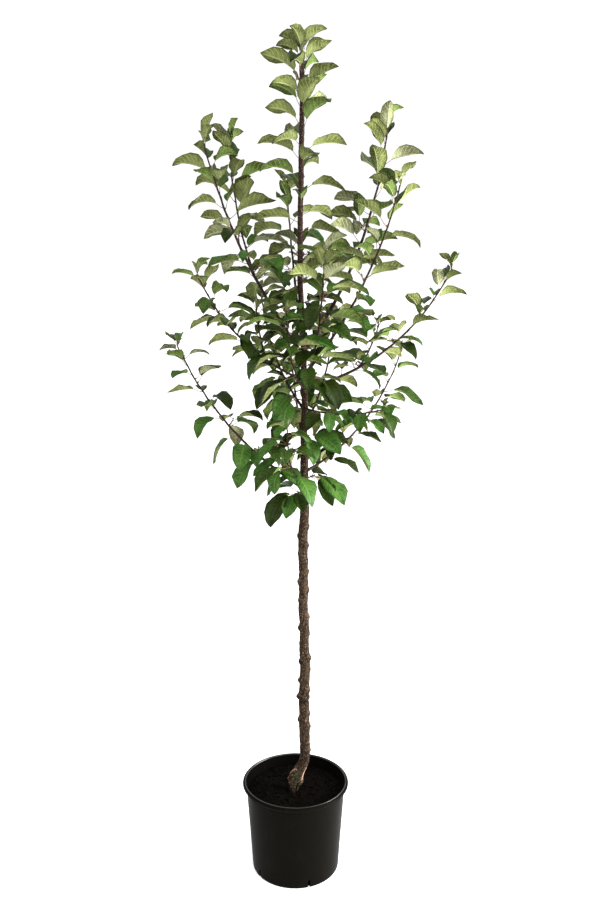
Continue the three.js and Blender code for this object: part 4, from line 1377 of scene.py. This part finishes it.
def joined(name, meshes):
    """One mesh from several."""
    bm = bmesh.new()
    for mesh in meshes:
        bm.from_mesh(mesh)
        bpy.data.meshes.remove(mesh)
    whole = bpy.data.meshes.new(name)
    bm.to_mesh(whole)
    bm.free()
    return whole


class APPLETREE_OT_boughs(bpy.types.Operator):
    """Grows the main boughs out to their tips, each with its forks"""

    bl_idname = "apple_tree.grow_boughs"
    bl_label = "Grow the boughs"

    def execute(self, context):
        shoots, leaves = grow_tree()
        bark = bough_bark(context.scene.apple_bark)
        for mass in (b.name for b in BOUGHS):
            own, hung = ([one for one in grown if one.mass == mass and one.kind in LIMB_KINDS]
                         for grown in (shoots, leaves))
            mesh = joined(f"limb_{mass}", [bough_mesh(shoot, hung) for shoot in own])
            in_place(f"limb_{mass}", mesh, [bark], "young_bark", f"bough_{mass}",
                     f"foliage_{mass}")
        return {"FINISHED"}


def twig_lines(shoots):
    """The lines and radii of short shoots, which swell a little at their feet and tips."""
    shares = np.linspace(0, 1, SHORT.rings)
    lines = np.array([[path_spot(s.path, share)[0] for share in shares] for s in shoots])
    radii = np.array([[blend(s.butt, s.tip, share) for share in shares] for s in shoots])
    radii *= 1 + SHORT.wrinkle * np.sin(np.arange(SHORT.rings) * SHORT.wrinkle_rate)
    radii[:, -1] *= SHORT.tip
    return lines, radii


def bud_lines(buds):
    """The lines and radii of pointed buds, each at a place, along a direction, with a length."""
    lines = np.array([[place + axis * length * share for share in BUD.shares]
                      for place, axis, length in buds])
    radii = np.array([[length * BUD.thick * width for width in BUD.widths]
                      for _, _, length in buds])
    return lines, radii


def bud_places(shoots, leaves):
    """A bud over each leaf's foot and one at each short shoot's tip."""
    buds = []
    for leaf in leaves:
        if leaf.kind != "furled":
            out = stalk_way(leaf)
            place = leaf.root + unit(out) * leaf.bark * BUD.out + (0, 0, BUD.lift)
            buds.append((place, unit(out + (0, 0, BUD.up)), BUD.length))
    for shoot in shoots:
        tip, axis = path_spot(shoot.path, 1)
        buds.append((tip - axis * BUD.sunk, axis, BUD.end_length))
    return buds


class APPLETREE_OT_twigs(bpy.types.Operator):
    """Grows the short twigs, the trunk's spurs, the finest sprigs and the buds"""

    bl_idname = "apple_tree.grow_twigs"
    bl_label = "Grow the twigs"

    def execute(self, context):
        look = context.scene
        shoots, leaves = grow_tree()
        short = [shoot for shoot in shoots if shoot.kind in ("twig", "spur", "sprig")]
        mesh = tube_mesh("twigs", *twig_lines(short), SHORT.sides)
        in_place("short_twigs", mesh, [bough_bark(look.apple_bark)], "young_bark",
                 *nodes_of("foliage_spur"))
        mesh = tube_mesh("buds", *bud_lines(bud_places(short, leaves)), BUD.sides)
        in_place("buds", mesh, [plain_skin("bud_skin", look.apple_leaf.bud, 0.6, 0.3)],
                 "young_bark")
        return {"FINISHED"}


# ---------------------------------------------------------------- leaves

# The finishes of a blade's two sides, in the order of their numbers. A blade gets them by its
# light, which is 0 low down and deep inside and 1 high up and outside, and by lot.
UPPERS = ("deep", "fresh", "bright", "light")
UNDERS = ("olive", "pale", "green")
TONES = Sizes(
    above_seed=3, above_turn=0.37, bright=0.55, deep=0.75, sunny=0.75, light=0.85, below_seed=5,
    below_turn=0.77, olive=0.55, pale=0.2)
# A stalk at shares of its length, how far it bows down there, and the rib it runs on as.
STALK = Sizes(
    shares=(0, 0.35, 0.7), bow=(0, 1, 0.8), sag=0.05, under=0.35, widths=(1.5, 1, 0.9),
    rib_widths=(0.86, 0.72, 0.62, 0.5, 0.4, 0.3, 0.22, 0.14), radius=0.85, furled_radius=0.5,
    sides=5)
# How far across its flat map each of a blade's eight lines of points lies, top lines first.
LINES_ACROSS = (0, 0.225, 0.5, 0.775, 1, 0.225, 0.5, 0.775)
TOP_LINES, LOW_LINES = (0, 1, 2, 3, 4), (0, 5, 6, 7, 4)


def blade_lines(leaves):
    """Each blade's midrib, with its across and face vectors, at the blade's stations."""
    substeps = BLADE.substeps
    stations = np.array(BLADE.stations)
    s = (np.arange(substeps) + 0.5) / substeps
    at = np.minimum(stations, substeps - 1)
    middles, acrosses, faces = [], [], []
    for leaf in leaves:
        hook = BLADE.tip_hook * jitter(leaf.seed, leaf.n + 0.05)
        rise = (leaf.rise - leaf.droop * s
                - hook * np.maximum(s - BLADE.hook_from, 0) / BLADE.hook_over)
        steps = direction(leaf.heading + leaf.curl * s, rise)
        across, face = blade_axes(leaf, steps[at], stations / substeps)
        middles.append(midrib(leaf, steps)[stations])
        acrosses.append(across)
        faces.append(face)
    return np.array(middles), np.array(acrosses), np.array(faces)


def blade_points(leaves, lines, thickness):
    """The points of every blade: its foot and tip, then for each station between them five
    across the top and three below, with the two rims shared."""
    middle, across, face = lines
    inner = np.array(BLADE.stations[1:-1]) / BLADE.substeps
    size = np.array([leaf.size for leaf in leaves])[:, None]
    fold = np.array([leaf.fold for leaf in leaves])[:, None]
    half = size * LEAF.half_width * np.array(BLADE.outline[1:-1])[None, :]
    seeds = [(leaf.seed, leaf.n) for leaf in leaves]
    m, a, f = middle[:, 1:-1], across[:, 1:-1], face[:, 1:-1]
    rows = {0: m}
    for side in (-1, 1):
        uneven = np.array([[jitter(seed + side, n + 0.11 * k) for k in range(len(inner))]
                           for seed, n in seeds])
        wave = np.array([[math.sin(2 * math.pi * (BLADE.waves * t + jitter(seed, n + side)))
                          for t in inner] for seed, n in seeds])
        width = half * (1 + BLADE.uneven * uneven)
        near = np.radians(fold + BLADE.lift)
        far = np.radians(fold - BLADE.recurve + BLADE.wave * wave)
        reach = width * BLADE.inner
        rest = width * (1 - BLADE.inner)
        bend = (m + a * (side * reach * np.cos(near))[:, :, None]
                + f * (reach * np.sin(near))[:, :, None])
        rows[side] = bend
        rows[2 * side] = (bend + a * (side * rest * np.cos(far))[:, :, None]
                          + f * (rest * np.sin(far))[:, :, None])
    up = f * thickness / 2
    top = [rows[-2], rows[-1] + up, rows[0] + up, rows[1] + up, rows[2]]
    low = [rows[-1] - up, rows[0] - up, rows[1] - up]
    stations = np.stack(top + low, axis=2).reshape(len(leaves), -1, 3)
    return np.concatenate((middle[:, :1], middle[:, -1:], stations), axis=1)


def blade_faces():
    """A blade's faces, top ones first, and each point's place on the flat map."""
    inner = np.array(BLADE.stations[1:-1]) / BLADE.substeps
    lines = len(LINES_ACROSS)
    foot, tip, first, last = 0, 1, 2, 2 + lines * (len(inner) - 1)
    flat = [(0.5, 0), (0.5, 1)] + [(u, v) for v in inner for u in LINES_ACROSS]
    faces = []
    for order, flip in ((TOP_LINES, False), (LOW_LINES, True)):
        side = []
        for a, b in zip(order, order[1:]):
            side.append((foot, first + b, first + a))
            for row in range(first, last, lines):
                side.append((row + a, row + b, row + lines + b, row + lines + a))
            side.append((last + a, last + b, tip))
        faces += [(face[0], *reversed(face[1:])) for face in side] if flip else side
    return faces, np.array(flat)


def leaf_tones(leaves, half):
    """The numbers of the finishes of each blade's faces, as many above as below."""
    tones = []
    for leaf in leaves:
        light = leaf.light
        above = lot(leaf.seed + TONES.above_seed, leaf.n + TONES.above_turn)
        below = lot(leaf.seed + TONES.below_seed, leaf.n + TONES.below_turn)
        if leaf.kind == "furled":
            upper, under = "light", "pale"
        else:
            if light > TONES.sunny and above > TONES.light:
                upper = "light"
            elif above < TONES.bright * (1 - light):
                upper = "bright"
            else:
                upper = "deep" if above > TONES.deep else "fresh"
            if below < TONES.olive:
                under = "olive"
            else:
                under = "pale" if below < TONES.olive + TONES.pale * light else "green"
        tones.append([UPPERS.index(upper)] * half + [len(UPPERS) + UNDERS.index(under)] * half)
    return tones


def stalk_lines(leaves, lines):
    """Each leaf's stalk, which runs on as the rib under the blade, and its radii."""
    ribs = len(STALK.rib_widths)
    stalks, radii = [], []
    for leaf, middle, _, face in zip(leaves, *lines):
        sag = face[0] * leaf.stalk * STALK.sag
        stalk = [blend(leaf.root, middle[0], share) - sag * bow
                 for share, bow in zip(STALK.shares, STALK.bow)]
        stalks.append([*stalk, *(middle[:ribs] - face[:ribs] * STALK.under)])
        radius = STALK.furled_radius if leaf.kind == "furled" else STALK.radius
        radii.append([radius * width for width in STALK.widths + STALK.rib_widths])
    return np.array(stalks), np.array(radii)


class APPLETREE_OT_leaves(bpy.types.Operator):
    """Hangs the leaves on their stalks"""

    bl_idname = "apple_tree.hang_leaves"
    bl_label = "Hang the leaves"

    def execute(self, context):
        look = context.scene.apple_leaf
        leaves = grow_tree()[1]
        lines = blade_lines(leaves)
        faces, flat = blade_faces()
        half = len(faces) // 2
        points = blade_points(leaves, lines, look.thickness / MM)
        mesh = heaped("leaf_blades", points, faces, leaf_tones(leaves, half), flat)
        self.split_rims(mesh)
        skins = [leaf_skin(f"leaf_{tone}", getattr(look, tone), UPPER_SIDE) for tone in UPPERS]
        skins += [leaf_skin(f"under_{tone}", getattr(look, f"under_{tone}"), UNDER_SIDE)
                  for tone in UNDERS]
        in_place("leaf_blades", mesh, skins, "foliage", *nodes_of("foliage_"))

        stalks, radii = stalk_lines(leaves, lines)
        sides, ribs = STALK.sides, len(STALK.rib_widths) - 1
        # The faces round the stalk, those round the rib, and the two that close the ends.
        kinds = [0] * len(STALK.shares) * sides + [1] * ribs * sides + [0, 1]
        mesh = tube_mesh("leaf_stalks", stalks, radii, sides, [kinds] * len(leaves))
        in_place("leaf_stalks", mesh, [plain_skin("stalk_skin", look.stalk, 0.6, 0.25),
                                       plain_skin("rib_skin", look.rib, 0.7, 0.15)],
                 "foliage", *nodes_of("foliage_"))
        return {"FINISHED"}

    @staticmethod
    def split_rims(mesh):
        """Keeps the shading of a blade's two sides apart along its rim."""
        above = [polygon.material_index < len(UPPERS) for polygon in mesh.polygons]
        sides = {}
        for polygon, top in zip(mesh.polygons, above):
            for key in polygon.edge_keys:
                sides.setdefault(key, set()).add(top)
        sharp = [len(sides[edge.key]) == 2 for edge in mesh.edges]
        mesh.attributes.new("sharp_edge", "BOOLEAN", "EDGE").data.foreach_set("value", sharp)


# ---------------------------------------------------------------- stage

FLOOR_RADIUS = 40000  # so wide that its rim is out of sight
# Soft boxes, as name, place, the point they look at and their share of the power; in metres.
LIGHTS = (("key_light", (2.1, -2.2, 3.3), (0, 0, 1.2), 1),
          ("edge_light", (2.7, -0.3, 1), (0, 0, 1), 2.2))
BOX_SIZE = 1.5
CAMERA = Sizes(place=(0.0119, -2.31, 1.63), down=12, lens=38.36, sensor=36)  # down in degrees


def soft_light(name, place, target, size, power):
    """A square soft box that looks at a point."""
    data = bpy.data.lights.new(name, "AREA")
    data.shape, data.size, data.energy = "SQUARE", size, power
    light = bpy.data.objects.new(name, data)
    light.location = place
    light.rotation_euler = (Vector(target) - Vector(place)).to_track_quat("-Z", "Y").to_euler()
    bpy.context.scene.collection.objects.link(light)


class APPLETREE_OT_stage(bpy.types.Operator):
    """Sets out the pale floor, the studio light and the camera"""

    bl_idname = "apple_tree.set_stage"
    bl_label = "Set the stage"

    def execute(self, context):
        look, scene = context.scene.apple_stage, context.scene
        bm = bmesh.new()
        bmesh.ops.create_circle(bm, cap_ends=True, segments=64, radius=FLOOR_RADIUS)
        mesh = from_bmesh("floor", bm)
        mesh.materials.append(plain_floor(look))
        floor = bpy.data.objects.new("floor", mesh)
        scene.collection.objects.link(floor)

        world = bpy.data.worlds.new("surround")
        world.use_nodes = True
        sky = world.node_tree.nodes["Background"].inputs
        sky["Color"].default_value = (1, 1, 1, 1)
        sky["Strength"].default_value = look.surround
        scene.world = world
        for name, place, target, share in LIGHTS:
            soft_light(name, place, target, BOX_SIZE, look.power * share)

        camera = bpy.data.objects.new("camera", bpy.data.cameras.new("camera"))
        camera.data.lens, camera.data.sensor_width = CAMERA.lens, CAMERA.sensor
        camera.location = CAMERA.place
        camera.rotation_euler = (math.radians(90 - CAMERA.down), 0, 0)
        scene.collection.objects.link(camera)
        scene.camera = camera
        scene.view_settings.view_transform = "Standard"
        return {"FINISHED"}


# ---------------------------------------------------------------- panel and running

OPERATORS = (APPLETREE_OT_pot, APPLETREE_OT_soil, APPLETREE_OT_trunk, APPLETREE_OT_boughs,
             APPLETREE_OT_twigs, APPLETREE_OT_leaves, APPLETREE_OT_stage)


class APPLETREE_PT_pieces(bpy.types.Panel):
    """Lists the tree's pieces and their looks"""

    bl_idname = "APPLETREE_PT_pieces"
    bl_label = "Potted apple tree"
    bl_space_type = "VIEW_3D"
    bl_region_type = "UI"
    bl_category = "Tree"

    def draw(self, context):
        for operator in OPERATORS:
            self.layout.operator(operator.bl_idname)
        for name, look in LOOKS.items():
            box = self.layout.box()
            for prop in look.__annotations__:
                box.prop(getattr(context.scene, name), prop)


CLASSES = (*LOOKS.values(), *OPERATORS, APPLETREE_PT_pieces)


def register():
    for cls in CLASSES:
        bpy.utils.register_class(cls)
    for name, look in LOOKS.items():
        setattr(bpy.types.Scene, name, PointerProperty(type=look))


def unregister():
    for name in LOOKS:
        delattr(bpy.types.Scene, name)
    for cls in reversed(CLASSES):
        bpy.utils.unregister_class(cls)


def main():
    """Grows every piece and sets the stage."""
    register()
    for operator in OPERATORS:
        group, name = operator.bl_idname.split(".")
        getattr(getattr(bpy.ops, group), name)()


if __name__ == "__main__":
    main()
